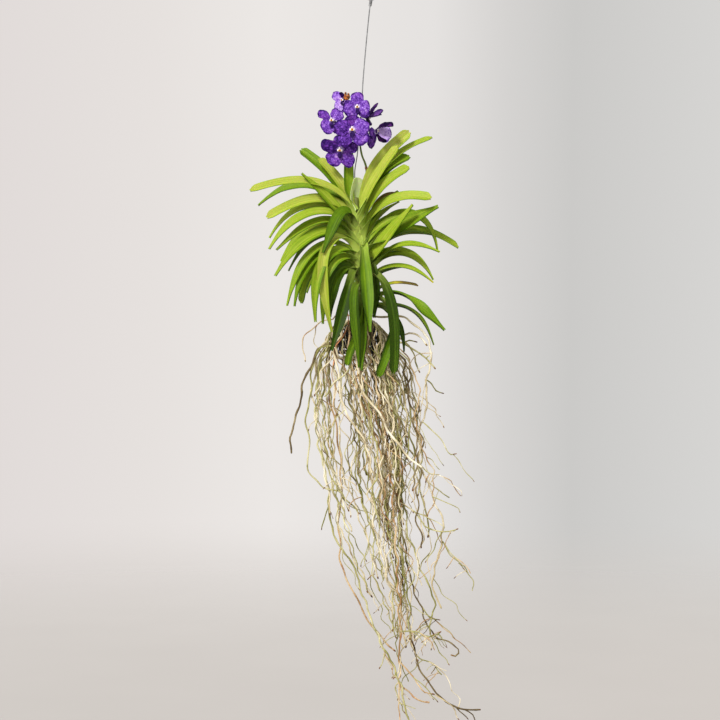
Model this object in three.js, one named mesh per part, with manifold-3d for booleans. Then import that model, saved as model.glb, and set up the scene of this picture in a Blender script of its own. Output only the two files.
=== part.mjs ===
// A vanda orchid grown in a small slatted basket, hung from the eye of a stiff wire hanger.
// Millimetres and degrees, +Z up. The origin is where a hook bears on the inside of the eye.
// The front of the plant faces -Y. Everything is built as it hangs.
import * as THREE from "three";
import { mergeVertices } from "three/addons/utils/BufferGeometryUtils.js";
import Module from "manifold-3d";

const wasm = await Module();
wasm.setup();
const { Manifold, Mesh } = wasm;

// ---------------------------------------------------------------- driving dimensions
const GAP = 0.3;

const WIRE_RADIUS = 1.25;
const WIRE_SIDES = 6;
const EYE_RADIUS = 8;
const EYE_SEGMENTS = 12;
// the wire from the eye to behind the basket
const SHANK = [
  [0, 0, -17], [-2.6, 0.5, -34], [-6, 6, -65], [-10.5, 11, -111], [-16.8, 18, -185], [-20, 22, -245],
  [-25, 24, -300], [-29, 25, -340], [-34, 25.5, -372], [-33.4, 25.5, -400], [-30, 25.5, -450],
  [-26, 25.5, -520], [-23, 25.5, -600], [-22, 24.4, -680], [-22, 23.8, -722],
];
const SHANK_STEPS = 15;
const HOOK_X = -22;
const HOOK_STEPS = 11;

const BASKET_CENTRE = [-29, 12];
const BASKET_WIDTH = 80;
const BASKET_RIM = -706;
const BAR = 9;
const BAR_LEVELS = 6;
const BAR_LAP = 0.4;
const BAR_END = 1;
const BOTTOM_BARS = [-18, 0, 18];
const BOTTOM_BAR_LENGTH = 76;

const STEM_AXIS = [[-31, -432], [-27, -489], [-23, -531], [-19, -584], [-16, -630], [-15, -668]];
const STEM_RADIUS = [8, 12];

const LEAF_THICKNESS = 1.9;
const LEAF_START = 9;
const LEAF_SHEATH_FOLD = 60;
const LEAF_BLADE_FOLD = 18;
// shares of a leaf's full width at its base and at its blunt tip, and of its thickness at the tip
const LEAF_BASE_WIDTH = 0.28;
const LEAF_TIP_WIDTH = 0.42;
const LEAF_TIP_THICKNESS = 0.65;

const CROWN = { x: -15, y: 3, top: -668.4, radius: 12 };
// share of the crown's height down from its top, and share of its radius there
const CROWN_PROFILE = [[0, 0.62], [0.17, 0.9], [0.48, 1], [0.8, 0.9], [1, 0.55]];
const CROWN_SIDES = 8;
const ROOT_SIDES = 3;
// a root's thickness at its tip as a share of that at the crown, and its distance off the basket
const ROOT_TIP = 0.55;
const ROOT_CLEAR = 2.5;
const RIM_CLEAR = 1.2;

const PETAL_THICKNESS = 1.7;
const HUB_TOP = 3;
// height forward of the bloom's centre and radius, for the hub behind the petals' roots
const HUB = [[-3.5, 1.6], [-1.8, 4.6], [0.8, 4.8], [HUB_TOP, 3]];
// height in front of the hub, radius and lift, for the column
const COLUMN = [[0, 2.8, 0], [3, 3.9, 1.2], [6.5, 3.6, 1.8], [9, 1.8, 2]];
// distance down from the bloom's axis, height in front of the hub and half width, for the lip
const LIP = [
  [3.1, 1.25, 2.4], [6, 4, 3.4], [9, 5.2, 4.4], [13, 4.6, 4.8], [16.5, 2.6, 3.4], [18.5, 1.3, 1.6],
];

// ---------------------------------------------------------------- small helpers
const vec = (x, y, z) => new THREE.Vector3(x, y, z);
const radians = THREE.MathUtils.degToRad;
const lerp = THREE.MathUtils.lerp;
const ease = (t) => THREE.MathUtils.smoothstep(t, 0, 1);
const plus = (p, ...steps) => steps.reduce((q, [dir, by]) => q.addScaledVector(dir, by), p.clone());

// Value of a hand-drawn line of [key, value, ...] rows at a key, the keys falling.
function along(rows, key, column = 1) {
  if (key >= rows[0][0]) return rows[0][column];
  for (let i = 1; i < rows.length; i++) {
    const [a, b] = [rows[i - 1], rows[i]];
    if (key >= b[0]) return lerp(a[column], b[column], (a[0] - key) / (a[0] - b[0]));
  }
  return rows.at(-1)[column];
}

// Repeatable random numbers between 0 and 1.
function seeded(seed) {
  let state = seed;
  return () => {
    state = (state + 0x6d2b79f5) | 0;
    let t = Math.imul(state ^ (state >>> 15), 1 | state);
    t = (t + Math.imul(t ^ (t >>> 7), 61 | t)) ^ t;
    return ((t ^ (t >>> 14)) >>> 0) / 4294967296;
  };
}

// ---------------------------------------------------------------- solids
// A closed skin through rings of points. Both faces of a flat blade are split alike.
function loft(rings) {
  const sides = rings[0].length;
  const positions = rings.flat().flatMap((p) => p.toArray());
  const index = [];
  for (let i = 0; i + 1 < rings.length; i++)
    for (let k = 0; k < sides; k++) {
      const [a, b] = [i * sides + k, i * sides + ((k + 1) % sides)];
      const [d, c] = [a + sides, b + sides];
      if (k < sides / 2) index.push(a, b, c, a, c, d);
      else index.push(a, b, d, b, c, d);
    }
  const last = (rings.length - 1) * sides;
  for (let k = 1; k + 1 < sides; k++)
    index.push(0, k + 1, k, last, last + k, last + k + 1);
  const geometry = new THREE.BufferGeometry();
  geometry.setAttribute("position", new THREE.Float32BufferAttribute(positions, 3));
  geometry.setIndex(index);
  return geometry;
}

// Any closed three.js geometry as a solid whose faces point out.
function solid(geometry) {
  geometry.deleteAttribute("normal");
  geometry.deleteAttribute("uv");
  const merged = mergeVertices(geometry, 1e-4);
  const vertProperties = merged.attributes.position.array;
  const triVerts = new Uint32Array(merged.index.array);
  const made = new Manifold(new Mesh({ numProp: 3, vertProperties, triVerts }));
  if (made.volume() > 0) return made;
  return new Manifold(new Mesh({ numProp: 3, vertProperties, triVerts: triVerts.reverse() }));
}

// The largest body of a solid: loose scraps and sealed hollows are dropped.
function mainBody(whole) {
  const bodies = whole.decompose().sort((a, b) => b.volume() - a.volume());
  return bodies[0];
}

const fuse = (solids) => mainBody(Manifold.union(solids));

function mesh(name, shape, colour, roughness = 0.6, metalness = 0) {
  const made = shape.getMesh();
  const positions = [];
  for (let i = 0; i < made.numVert; i++)
    positions.push(...made.vertProperties.subarray(i * made.numProp, i * made.numProp + 3));
  const geometry = new THREE.BufferGeometry();
  geometry.setAttribute("position", new THREE.Float32BufferAttribute(positions, 3));
  geometry.setIndex([...made.triVerts]);
  geometry.computeVertexNormals();
  const material = new THREE.MeshStandardMaterial({ color: colour, roughness, metalness });
  const piece = new THREE.Mesh(geometry, material);
  piece.name = name;
  return piece;
}

// A round tube of changing radius through points, its section carried along without twist.
function tube(points, radii, sides) {
  let across = vec(0, 1, 0);
  const rings = points.map((p, i) => {
    const tangent = plus(points[Math.min(i + 1, points.length - 1)], [points[Math.max(i - 1, 0)], -1]);
    tangent.normalize();
    across = plus(across, [tangent, -across.dot(tangent)]).normalize();
    const up = tangent.clone().cross(across);
    return Array.from({ length: sides }, (_, k) => {
      const angle = (2 * Math.PI * k) / sides;
      return plus(p, [across, radii[i] * Math.cos(angle)], [up, radii[i] * Math.sin(angle)]);
    });
  });
  return solid(loft(rings));
}

const ball = (centre, rx, ry, rz, around, down) =>
  solid(new THREE.SphereGeometry(1, around, down).scale(rx, ry, rz).translate(...centre.toArray()));

// ---------------------------------------------------------------- wire hanger
// A closed eye on a wire that runs down behind the flowers and the stem and hooks under the basket.
const HOOK_BAR = BASKET_CENTRE[1] + BOTTOM_BARS[2];
const BASKET_FLOOR = BASKET_RIM - BAR_LEVELS * BAR;
const HOOK_REACH = BAR / 2 + 2 * GAP + WIRE_RADIUS;

function bentWire(points, steps) {
  const section = new THREE.Shape(
    Array.from({ length: WIRE_SIDES }, (_, k) => {
      const angle = (2 * Math.PI * k) / WIRE_SIDES;
      return new THREE.Vector2(WIRE_RADIUS * Math.cos(angle), WIRE_RADIUS * Math.sin(angle));
    }),
  );
  const extrudePath = new THREE.CatmullRomCurve3(points, false, "centripetal");
  return solid(new THREE.ExtrudeGeometry(section, { steps, extrudePath, bevelEnabled: false }));
}

function wireHanger() {
  const eye = new THREE.TorusGeometry(EYE_RADIUS + WIRE_RADIUS, WIRE_RADIUS, WIRE_SIDES, EYE_SEGMENTS);
  eye.rotateX(Math.PI / 2).translate(0, 0, -EYE_RADIUS);
  const [near, far] = [HOOK_BAR - HOOK_REACH, HOOK_BAR + HOOK_REACH];
  const turn = BASKET_FLOOR - 1;
  const under = turn - HOOK_REACH;
  const hook = [
    [near, turn + 46], [near, turn + 24], [near, turn],
    [lerp(near, HOOK_BAR, 0.4), lerp(turn, under, 0.85)], [HOOK_BAR, under],
    [lerp(far, HOOK_BAR, 0.4), lerp(turn, under, 0.85)], [far, turn], [far, turn + 9],
  ].map(([y, z]) => vec(HOOK_X, y, z));
  const shank = SHANK.map(([x, y, z]) => vec(x, y, z));
  return [solid(eye), bentWire(shank, SHANK_STEPS), bentWire(hook, HOOK_STEPS)];
}

// ---------------------------------------------------------------- basket
// Bars laid log-cabin fashion, each level let into the one below, on three bars across the bottom.
function basket() {
  const half = BASKET_WIDTH / 2;
  const [cx, cy] = BASKET_CENTRE;
  const bar = (lx, ly, x, y, z) =>
    solid(new THREE.BoxGeometry(lx, ly, BAR + BAR_LAP).translate(cx + x, cy + y, z));
  const bars = [];
  for (let level = 0; level < BAR_LEVELS; level++) {
    const z = BASKET_FLOOR + BAR * (level + 0.5);
    for (const side of [-1, 1]) {
      const off = side * (half - BAR / 2 - BAR_END);
      bars.push(level % 2 ? bar(BAR, BASKET_WIDTH, off, 0, z) : bar(BASKET_WIDTH, BAR, 0, off, z));
    }
  }
  for (const y of BOTTOM_BARS)
    bars.push(bar(BOTTOM_BAR_LENGTH, BAR, 0, y, BASKET_FLOOR + BAR / 2));
  return bars;
}

// ---------------------------------------------------------------- leaves
const LEFT = -1;
const RIGHT = 1;
// side, height on the stem, length, rise at the stem, droop at the tip, how far along half the bend
// is done, sharpness of the bend, turn toward the front, roll of the face toward the front, width
const LEAVES = [
  [LEFT, -460, 130, 74, 92, 0.30, 2.0, -8, 60, 22],
  [LEFT, -485, 200, 73, 37, 0.50, 2.0, -18, 40, 20],
  [LEFT, -495, 175, 80, 43, 0.60, 2.0, -12, 40, 20],
  [LEFT, -520, 190, 68, 41, 0.25, 2.0, 18, 45, 22],
  [LEFT, -495, 280, 74, -21, 0.42, 2.0, 10, 50, 24],
  [LEFT, -510, 275, 74, -42, 0.65, 2.0, -14, 30, 20],
  [LEFT, -520, 255, 78, -28, 0.36, 2.0, 14, 50, 23],
  [LEFT, -535, 262, 74, -60, 0.55, 2.0, -10, 35, 21],
  [LEFT, -535, 260, 72, -62, 0.48, 2.0, 16, 50, 23],
  [LEFT, -545, 232, 74, -46, 0.38, 2.0, 12, 50, 22],
  [LEFT, -550, 232, 68, -64, 0.48, 2.0, -4, 45, 22],
  [LEFT, -560, 246, 68, -62, 0.37, 2.0, 18, 55, 22],
  [LEFT, -565, 214, 70, -66, 0.45, 2.0, -12, 35, 20],
  [LEFT, -580, 255, 58, -80, 0.41, 2.0, 14, 60, 21],
  [LEFT, -590, 234, 63, -85, 0.40, 2.0, 20, 62, 22],
  [LEFT, -605, 210, 68, -86, 0.40, 2.0, 6, 60, 20],
  [LEFT, -615, 175, 70, -70, 0.46, 2.0, -10, 40, 20],
  [LEFT, -595, 244, 67, -98, 0.35, 2.0, 24, 70, 21],
  [LEFT, -560, 276, 60, -104, 0.26, 3.0, 34, 75, 24],
  [LEFT, -625, 182, 62, -92, 0.34, 2.5, 10, 70, 18],
  [LEFT, -613, 165, 62, -90, 0.31, 2.5, 20, 50, 22],
  [LEFT, -638, 200, 80, -72, 0.22, 4.0, 30, 60, 21],
  [LEFT, -565, 120, 66, -78, 0.46, 2.0, 30, 60, 20],
  [LEFT, -580, 124, 60, -80, 0.42, 2.0, 32, 60, 20],
  [LEFT, -505, 172, 72, -66, 0.33, 6.0, 36, 55, 22],
  [RIGHT, -483, 228, 82, 38, 0.60, 2.0, -6, 50, 22],
  [RIGHT, -500, 200, 82, 48, 0.36, 2.0, 12, 50, 21],
  [RIGHT, -491, 250, 74, 18, 0.78, 2.0, -16, 45, 21],
  [RIGHT, -508, 205, 78, 26, 0.80, 2.0, -12, 35, 20],
  [RIGHT, -517, 190, 77, 36, 0.45, 2.0, -14, 35, 20],
  [RIGHT, -517, 184, 82, 20, 0.68, 2.0, 14, 55, 23],
  [RIGHT, -529, 158, 76, -34, 1.00, 4.0, -8, 30, 18],
  [RIGHT, -533, 208, 76, -12, 0.62, 2.0, 14, 55, 24],
  [RIGHT, -542, 134, 78, 28, 0.70, 2.0, -14, 30, 20],
  [RIGHT, -546, 128, 78, 22, 0.50, 2.0, -10, 30, 20],
  [RIGHT, -559, 144, 80, 8, 0.60, 2.0, 10, 50, 21],
  [RIGHT, -612, 210, 73, 48, 0.28, 2.0, 24, 60, 26],
  [RIGHT, -567, 210, 58, 31, 0.30, 2.0, -8, 55, 24],
  [RIGHT, -567, 262, 66, -80, 0.66, 3.0, 6, 55, 21],
  [RIGHT, -596, 252, 68, -27, 0.51, 2.0, 10, 60, 24],
  [RIGHT, -588, 214, 74, -20, 0.46, 2.0, -8, 45, 21],
  [RIGHT, -613, 204, 75, -20, 0.44, 2.0, 16, 60, 24],
  [RIGHT, -605, 208, 68, -62, 0.60, 2.4, -6, 45, 21],
  [RIGHT, -617, 210, 72, -62, 0.55, 2.4, 6, 50, 22],
  [RIGHT, -630, 180, 69, -34, 0.40, 2.0, 16, 55, 22],
  [RIGHT, -626, 100, 70, 2, 0.50, 2.0, -12, 40, 20],
  [RIGHT, -647, 122, 50, -20, 0.50, 2.0, -6, 15, 18],
  [RIGHT, -630, 262, 62, -118, 0.20, 1.6, 30, 70, 24],
  [RIGHT, -638, 240, 50, -95, 0.12, 2.0, 14, 50, 20],
  [RIGHT, -646, 214, 24, -52, 0.38, 2.0, 10, 40, 22],
  [RIGHT, -653, 190, 4, -80, 0.50, 2.0, 8, 55, 21],
  [RIGHT, -659, 150, 0, -112, 0.40, 2.0, 16, 50, 20],
  [RIGHT, -567, 206, 52, -94, 0.28, 2.5, 82, 0, 26],
  [LEFT, -640, 222, 40, -96, 0.22, 3.0, 80, 0, 22],
  [RIGHT, -650, 175, 20, -98, 0.20, 2.5, 72, 15, 18],
];
const LEAF_STATIONS = [0, 0.19, 0.36, 0.54, 0.74, 0.93, 1];
const LEAF_STEPS = 60;

const stemX = (z) => along(STEM_AXIS.map(([x, h]) => [h, x]), z);
const bow = (t, half, crook) => (t ** crook / (t ** crook + half ** crook)) * (1 + half ** crook);

function leafWidth(t) {
  const sheath = lerp(LEAF_BASE_WIDTH, 1, ease(t / 0.42));
  const taper = lerp(1, 0.78, ease((t - 0.45) / 0.45));
  return sheath * taper * lerp(1, LEAF_TIP_WIDTH, ease((t - 0.9) / 0.1) ** 2);
}

// The rings of one leaf: a strap folded into a V along its keel, thin at its two margins.
// With swell it is the same leaf, larger by that much all round.
function leafRings([side, height, length, rise, droop, half, crook, yaw, roll, width], swell = 0) {
  const out = vec(side * Math.cos(radians(yaw)), -Math.sin(radians(yaw)), 0);
  const front = vec(side * out.y, -side * out.x, 0);
  let p = plus(vec(stemX(height), 0, height), [out, LEAF_START]);
  const rings = [];
  for (let step = 0; step <= LEAF_STEPS; step++) {
    const t = step / LEAF_STEPS;
    const lift = radians(rise + (droop - rise) * bow(t, half, crook));
    const tangent = plus(vec(0, 0, Math.sin(lift)), [out, Math.cos(lift)]);
    if (LEAF_STATIONS.some((s) => Math.round(s * LEAF_STEPS) === step)) {
      const upper = plus(vec(0, 0, Math.cos(lift)), [out, -Math.sin(lift)]);
      const turned = radians(roll) * ease(t / 0.35);
      const face = plus(vec(0, 0, 0), [upper, Math.cos(turned)], [front, Math.sin(turned)]);
      const across = plus(vec(0, 0, 0), [front, Math.cos(turned)], [upper, -Math.sin(turned)]);
      const fold = radians(lerp(LEAF_SHEATH_FOLD, LEAF_BLADE_FOLD, ease(t / 0.4)));
      const reach = (width / 2) * leafWidth(t) + swell;
      const [wide, high] = [reach * Math.cos(fold), reach * Math.sin(fold)];
      const thick = LEAF_THICKNESS * lerp(1, LEAF_TIP_THICKNESS, t);
      const edge = (sign, lift) => plus(p, [across, sign * wide], [face, high + lift]);
      if (swell)
        rings.push([
          edge(1, swell), plus(p, [face, swell]), edge(-1, swell),
          edge(-1, -swell), plus(p, [face, -thick - swell]), edge(1, -swell),
        ]);
      else rings.push([edge(1, 0), p.clone(), edge(-1, 0), plus(p, [face, -thick])]);
    }
    p = plus(p, [tangent, length / LEAF_STEPS]);
  }
  return rings;
}

function stem(swell = 0) {
  const points = STEM_AXIS.map(([x, z]) => vec(x, 0, z));
  const radii = STEM_AXIS.map((_, i) => lerp(...STEM_RADIUS, i / (STEM_AXIS.length - 1)) + swell);
  return tube(points, radii, 8);
}

const leafyStem = (swell = 0) => [stem(swell), ...LEAVES.map((row) => solid(loft(leafRings(row, swell))))];

// ---------------------------------------------------------------- roots
// Each named root: the height it leaves the crown at, or the root and point that it branches from;
// its radius at the base; its depth at the first and last point; then x and z down its length.
const ROOTS = {
  left_brown: {
    height: -684,
    radius: 2.6,
    depth: [-6, -26],
    path: [[-82, -731], [-107, -750], [-130, -788], [-141, -825], [-149, -857], [-162, -916],
      [-170, -934], [-166, -968]],
  },
  far_left_thin: {
    height: -678,
    radius: 1.5,
    depth: [12, 20],
    path: [[-55, -680], [-80, -687], [-107, -691], [-124, -710], [-143, -727], [-145, -752],
      [-139, -777]],
  },
  far_left_twig: {
    from: ["far_left_thin", 2],
    radius: 1.2,
    depth: 24,
    path: [[-118, -704], [-118, -731], [-107, -756]],
  },
  left_arch: {
    height: -690,
    radius: 2.0,
    depth: [-12, -8],
    path: [[-78, -739], [-103, -746], [-120, -773], [-126, -804], [-124, -836], [-132, -867],
      [-136, -895], [-132, -930], [-128, -956], [-134, -987], [-126, -1014], [-97, -1040],
      [-65, -1050], [-44, -1073], [-23, -1096]],
  },
  left_cream: {
    height: -688,
    radius: 2.3,
    depth: [-36, -44],
    path: [[-65, -722], [-80, -756], [-71, -783], [-65, -825], [-59, -867], [-44, -895],
      [-23, -926], [-6, -962], [2, -1008]],
  },
  front_white: {
    height: -694,
    radius: 2.5,
    depth: [-40, -58],
    path: [[-29, -752], [-27, -804], [-15, -840], [15, -882], [40, -924], [61, -956], [82, -976],
      [105, -995]],
  },
  left_long: {
    height: -686,
    radius: 2.4,
    depth: [6, -20],
    path: [[-86, -735], [-111, -785], [-113, -836], [-116, -888], [-111, -941], [-103, -983],
      [-92, -1025], [-88, -1077], [-86, -1109], [-76, -1140], [-61, -1172], [-40, -1195],
      [-29, -1228], [-17, -1266], [-2, -1308], [19, -1361], [44, -1407], [59, -1443], [69, -1487],
      [80, -1537]],
  },
  left_long_hook: {
    from: ["left_long", 7],
    radius: 1.5,
    depth: 4,
    path: [[-99, -1107], [-103, -1130]],
  },
  left_second: {
    height: -692,
    radius: 2.2,
    depth: [16, 6],
    path: [[-80, -741], [-94, -790], [-86, -857], [-74, -909], [-67, -962], [-63, -1014],
      [-63, -1067], [-69, -1130], [-63, -1170], [-65, -1195], [-55, -1228], [-44, -1247],
      [-29, -1275], [-19, -1300], [-2, -1325], [19, -1354], [52, -1386]],
  },
  left_twig_low: {
    from: ["left_second", 14],
    radius: 1.4,
    depth: -6,
    path: [[27, -1378], [25, -1403], [17, -1422]],
  },
  right_pale: {
    height: -676,
    radius: 2.4,
    depth: [24, 8],
    path: [[19, -682], [61, -680], [82, -689], [107, -712], [126, -741], [130, -758], [124, -779],
      [118, -815], [118, -857], [109, -903], [101, -951], [105, -995], [118, -1029], [134, -1067],
      [149, -1109], [151, -1155], [139, -1186], [134, -1224], [130, -1256], [139, -1279],
      [149, -1296]],
  },
  right_pale_a: {
    from: ["right_pale", 7],
    radius: 1.5,
    depth: 16,
    path: [[128, -823], [139, -838], [155, -844]],
  },
  right_pale_b: {
    from: ["right_pale", 9],
    radius: 1.5,
    depth: -8,
    path: [[139, -930], [155, -956], [170, -972], [181, -970]],
  },
  right_pale_c: {
    from: ["right_pale", 11],
    radius: 1.4,
    depth: -10,
    path: [[124, -1012], [143, -1014]],
  },
  right_pale_d: {
    from: ["right_pale", 12],
    radius: 1.5,
    depth: 20,
    path: [[141, -1046], [166, -1065]],
  },
  right_pale_e: {
    from: ["right_pale", 15],
    radius: 1.4,
    depth: -12,
    path: [[166, -1178], [183, -1193]],
  },
  right_pale_f: {
    from: ["right_pale", 15],
    radius: 1.4,
    depth: 14,
    path: [[170, -1186], [191, -1208], [206, -1224]],
  },
  right_upper: {
    height: -688,
    radius: 1.9,
    depth: [34, 22],
    path: [[32, -718], [61, -727], [82, -716], [103, -724], [120, -743]],
  },
  right_forked: {
    height: -694,
    radius: 1.9,
    depth: [8, 14],
    path: [[29, -731], [69, -737], [94, -754], [116, -769], [136, -792]],
  },
  right_fork_tip: {
    from: ["right_forked", 3],
    radius: 1.3,
    depth: 6,
    path: [[124, -762]],
  },
  right_stub: {
    height: -690,
    radius: 1.5,
    depth: [44, 40],
    path: [[29, -727], [63, -737], [80, -731], [99, -735]],
  },
  right_drop: {
    height: -686,
    radius: 1.7,
    depth: [30, 34],
    path: [[27, -718], [65, -729], [82, -743], [90, -766], [105, -800]],
  },
  right_short: {
    height: -696,
    radius: 1.9,
    depth: [10, 12],
    path: [[25, -743], [36, -798], [55, -819], [67, -836], [90, -855]],
  },
  right_second: {
    height: -692,
    radius: 2.1,
    depth: [20, 26],
    path: [[27, -735], [59, -777], [76, -825], [82, -878], [84, -930], [92, -983], [99, -1035],
      [113, -1077], [120, -1109], [120, -1149]],
  },
  right_green: {
    height: -698,
    radius: 2.2,
    depth: [2, 10],
    path: [[19, -756], [44, -836], [61, -920], [65, -1004], [69, -1077], [82, -1151], [99, -1197],
      [120, -1245], [134, -1281], [134, -1296], [126, -1321], [124, -1352]],
  },
  right_reach: {
    from: ["right_green", 4],
    radius: 1.7,
    depth: -14,
    path: [[92, -1092], [113, -1121], [141, -1132], [166, -1132], [183, -1126]],
  },
  lower_long: {
    height: -697,
    radius: 2.3,
    depth: [-34, -6],
    path: [[-6, -752], [10, -825], [27, -909], [40, -993], [46, -1077], [52, -1161], [57, -1256],
      [61, -1340], [59, -1403], [61, -1447], [82, -1472], [103, -1487], [124, -1491]],
  },
  lower_left_tip: {
    from: ["lower_long", 9],
    radius: 1.5,
    depth: 6,
    path: [[50, -1457], [55, -1487]],
  },
  lower_loop: {
    from: ["left_long", 17],
    radius: 1.5,
    depth: -6,
    path: [[59, -1489], [59, -1512], [61, -1537]],
  },
  lower_dark: {
    height: -699,
    radius: 2.3,
    depth: [40, 14],
    path: [[15, -756], [36, -857], [48, -962], [57, -1067], [63, -1161], [69, -1256], [84, -1348],
      [94, -1394], [103, -1426], [124, -1457], [145, -1483], [166, -1499], [197, -1510],
      [235, -1510]],
  },
  lower_dark_a: {
    from: ["lower_dark", 11],
    radius: 1.5,
    depth: 6,
    path: [[178, -1504], [187, -1516], [206, -1533]],
  },
  lower_dark_b: {
    from: ["lower_dark", 12],
    radius: 1.4,
    depth: -6,
    path: [[214, -1520], [220, -1533]],
  },
  lower_mid: {
    from: ["lower_long", 8],
    radius: 1.7,
    depth: -10,
    path: [[82, -1428], [99, -1451], [113, -1466], [132, -1470]],
  },
  hooked: {
    height: -700,
    radius: 2.1,
    depth: [48, 22],
    path: [[10, -764], [32, -878], [48, -983], [61, -1088], [74, -1182], [86, -1245], [103, -1289],
      [113, -1321], [130, -1348], [141, -1363], [166, -1369], [185, -1384], [178, -1399],
      [168, -1396]],
  },
  lower_side: {
    from: ["lower_long", 7],
    radius: 1.6,
    depth: 12,
    path: [[80, -1340], [101, -1342], [109, -1352], [134, -1350], [147, -1342]],
  },
  lower_spur: {
    from: ["lower_dark", 7],
    radius: 1.5,
    depth: 12,
    path: [[105, -1405], [124, -1413], [141, -1428], [151, -1441]],
  },
  mid_spur: {
    from: ["hooked", 6],
    radius: 1.5,
    depth: -10,
    path: [[124, -1317], [147, -1323]],
  },
};

// Curtains of roots between the named ones: how many, and down their fall the height, middle,
// half width and half depth that they spread over, then the heights at which they end.
const CURTAINS = [
  {
    count: 20,
    fall: [
      [-772, -6, 57, 46], [-860, 8, 58, 48], [-960, 22, 52, 44], [-1070, 26, 42, 38],
      [-1170, 40, 34, 32], [-1250, 57, 28, 26], [-1330, 66, 22, 20], [-1420, 74, 14, 14],
    ],
    ends: [-1000, -1400],
  },
  {
    count: 6,
    fall: [
      [-772, -98, 23, 30], [-860, -98, 24, 32], [-960, -92, 24, 32], [-1070, -68, 26, 28],
      [-1170, -34, 28, 24], [-1250, -8, 24, 20], [-1350, 26, 14, 16],
    ],
    ends: [-980, -1300],
  },
  {
    count: 5,
    fall: [
      [-772, 62, 25, 33], [-860, 84, 24, 30], [-960, 88, 24, 28], [-1070, 92, 26, 26],
      [-1170, 92, 24, 22], [-1250, 98, 22, 20], [-1350, 112, 14, 16],
    ],
    ends: [-960, -1330],
  },
];
const CURTAIN_SEED = 20;
const CURTAIN_STEP = 72;
const TURN_PER_ROOT = 2.4;
const ROOT_SWAY = [3, 8];
const ROOT_WAVE = [170, 330];
const ROOT_RADIUS = [1.9, 2.4];
const ROOT_HEIGHT = [-682, -700];
const WIRE_BEARING = Math.atan2(HOOK_BAR - HOOK_REACH - CROWN.y, HOOK_X - CROWN.x);
const WIRE_BERTH = radians(15);

// A point moved straight out from the basket's middle until a root there clears its walls.
function outsideBasket(p, radius) {
  const [cx, cy] = BASKET_CENTRE;
  const clear = BASKET_WIDTH / 2 + radius + ROOT_CLEAR;
  const far = Math.max(Math.abs(p.x - cx), Math.abs(p.y - cy));
  if (far >= clear) return p;
  const out = clear / Math.max(far, 1);
  return vec(cx + (p.x - cx) * out, cy + (p.y - cy) * out, p.z);
}

// Where a root from the crown passes over the rim on its way to a point outside,
// to one side of the wire where it would meet it.
function overRim(target, radius) {
  let bearing = Math.atan2(target.y - CROWN.y, target.x - CROWN.x);
  const off = bearing - WIRE_BEARING;
  if (Math.abs(off) < WIRE_BERTH) bearing = WIRE_BEARING + WIRE_BERTH * (off < 0 ? -1 : 1);
  const [cx, cy] = BASKET_CENTRE;
  const clear = BASKET_WIDTH / 2 + radius + ROOT_CLEAR;
  const [dx, dy] = [Math.cos(bearing), Math.sin(bearing)];
  const t = Math.min(
    (cx + Math.sign(dx) * clear - CROWN.x) / dx,
    (cy + Math.sign(dy) * clear - CROWN.y) / dy,
  );
  return vec(CROWN.x + dx * t, CROWN.y + dy * t, BASKET_RIM + radius + RIM_CLEAR);
}

// A root leaves the crown, passes over the rim, and falls outside the basket until it is below it.
function rootFromCrown(height, radius, points) {
  const start = [vec(CROWN.x, CROWN.y, height)];
  if (points[0].z < BASKET_RIM) start.push(overRim(outsideBasket(points[0], radius), radius));
  const below = BASKET_FLOOR - radius - ROOT_CLEAR;
  for (const p of points) {
    const before = start.at(-1);
    if (p.z > below) start.push(outsideBasket(p, radius));
    else {
      if (before.z > below) {
        const t = (before.z - below) / (before.z - p.z);
        start.push(outsideBasket(before.clone().lerp(p, t), radius));
      }
      start.push(p);
    }
  }
  return start;
}

function namedRoots() {
  const made = {};
  for (const [name, { from, height, radius, depth, path }] of Object.entries(ROOTS)) {
    if (from) {
      const [parent, at] = from;
      const base = made[parent].path[at];
      const points = path.map(([x, z], i) => vec(x, base.y + (depth * (i + 1)) / path.length, z));
      made[name] = { path: points, points: [base, ...points], radius };
    } else {
      const points = path.map(([x, z], i) => vec(x, lerp(...depth, i / (path.length - 1)), z));
      made[name] = { path: points, points: rootFromCrown(height, radius, points), radius };
    }
  }
  return Object.values(made);
}

function curtainRoots() {
  const random = seeded(CURTAIN_SEED);
  const between = (low, high) => lerp(low, high, random());
  const made = [];
  for (const { count, fall, ends } of CURTAINS)
    for (let n = 0; n < count; n++) {
      const angle = TURN_PER_ROOT * n + between(-0.3, 0.3);
      const spread = Math.sqrt((n + 0.5) / count);
      const [side, depth] = [spread * Math.cos(angle), spread * Math.sin(angle)];
      const drift = between(-0.35, 0.35);
      const [sway, wave, phase] = [between(...ROOT_SWAY), between(...ROOT_WAVE), between(0, 2 * Math.PI)];
      const [radius, bottom] = [between(...ROOT_RADIUS), between(...ends)];
      const height = between(...ROOT_HEIGHT);
      const points = [];
      const steps = Math.round((fall[0][0] - bottom) / CURTAIN_STEP);
      for (let i = 0; i <= steps; i++) {
        const t = i / steps;
        const z = lerp(fall[0][0], bottom, t);
        const swing = sway * Math.sin(phase + (2 * Math.PI * z) / wave) * Math.min(1, 3 * t);
        const x = along(fall, z, 1) + along(fall, z, 2) * (side + drift * t) + swing;
        const y = BASKET_CENTRE[1] * (1 - t) + along(fall, z, 3) * depth + swing * 0.6;
        points.push(vec(x, y, z));
      }
      made.push({ points: rootFromCrown(height, radius, points), radius });
    }
  return made;
}

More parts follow.
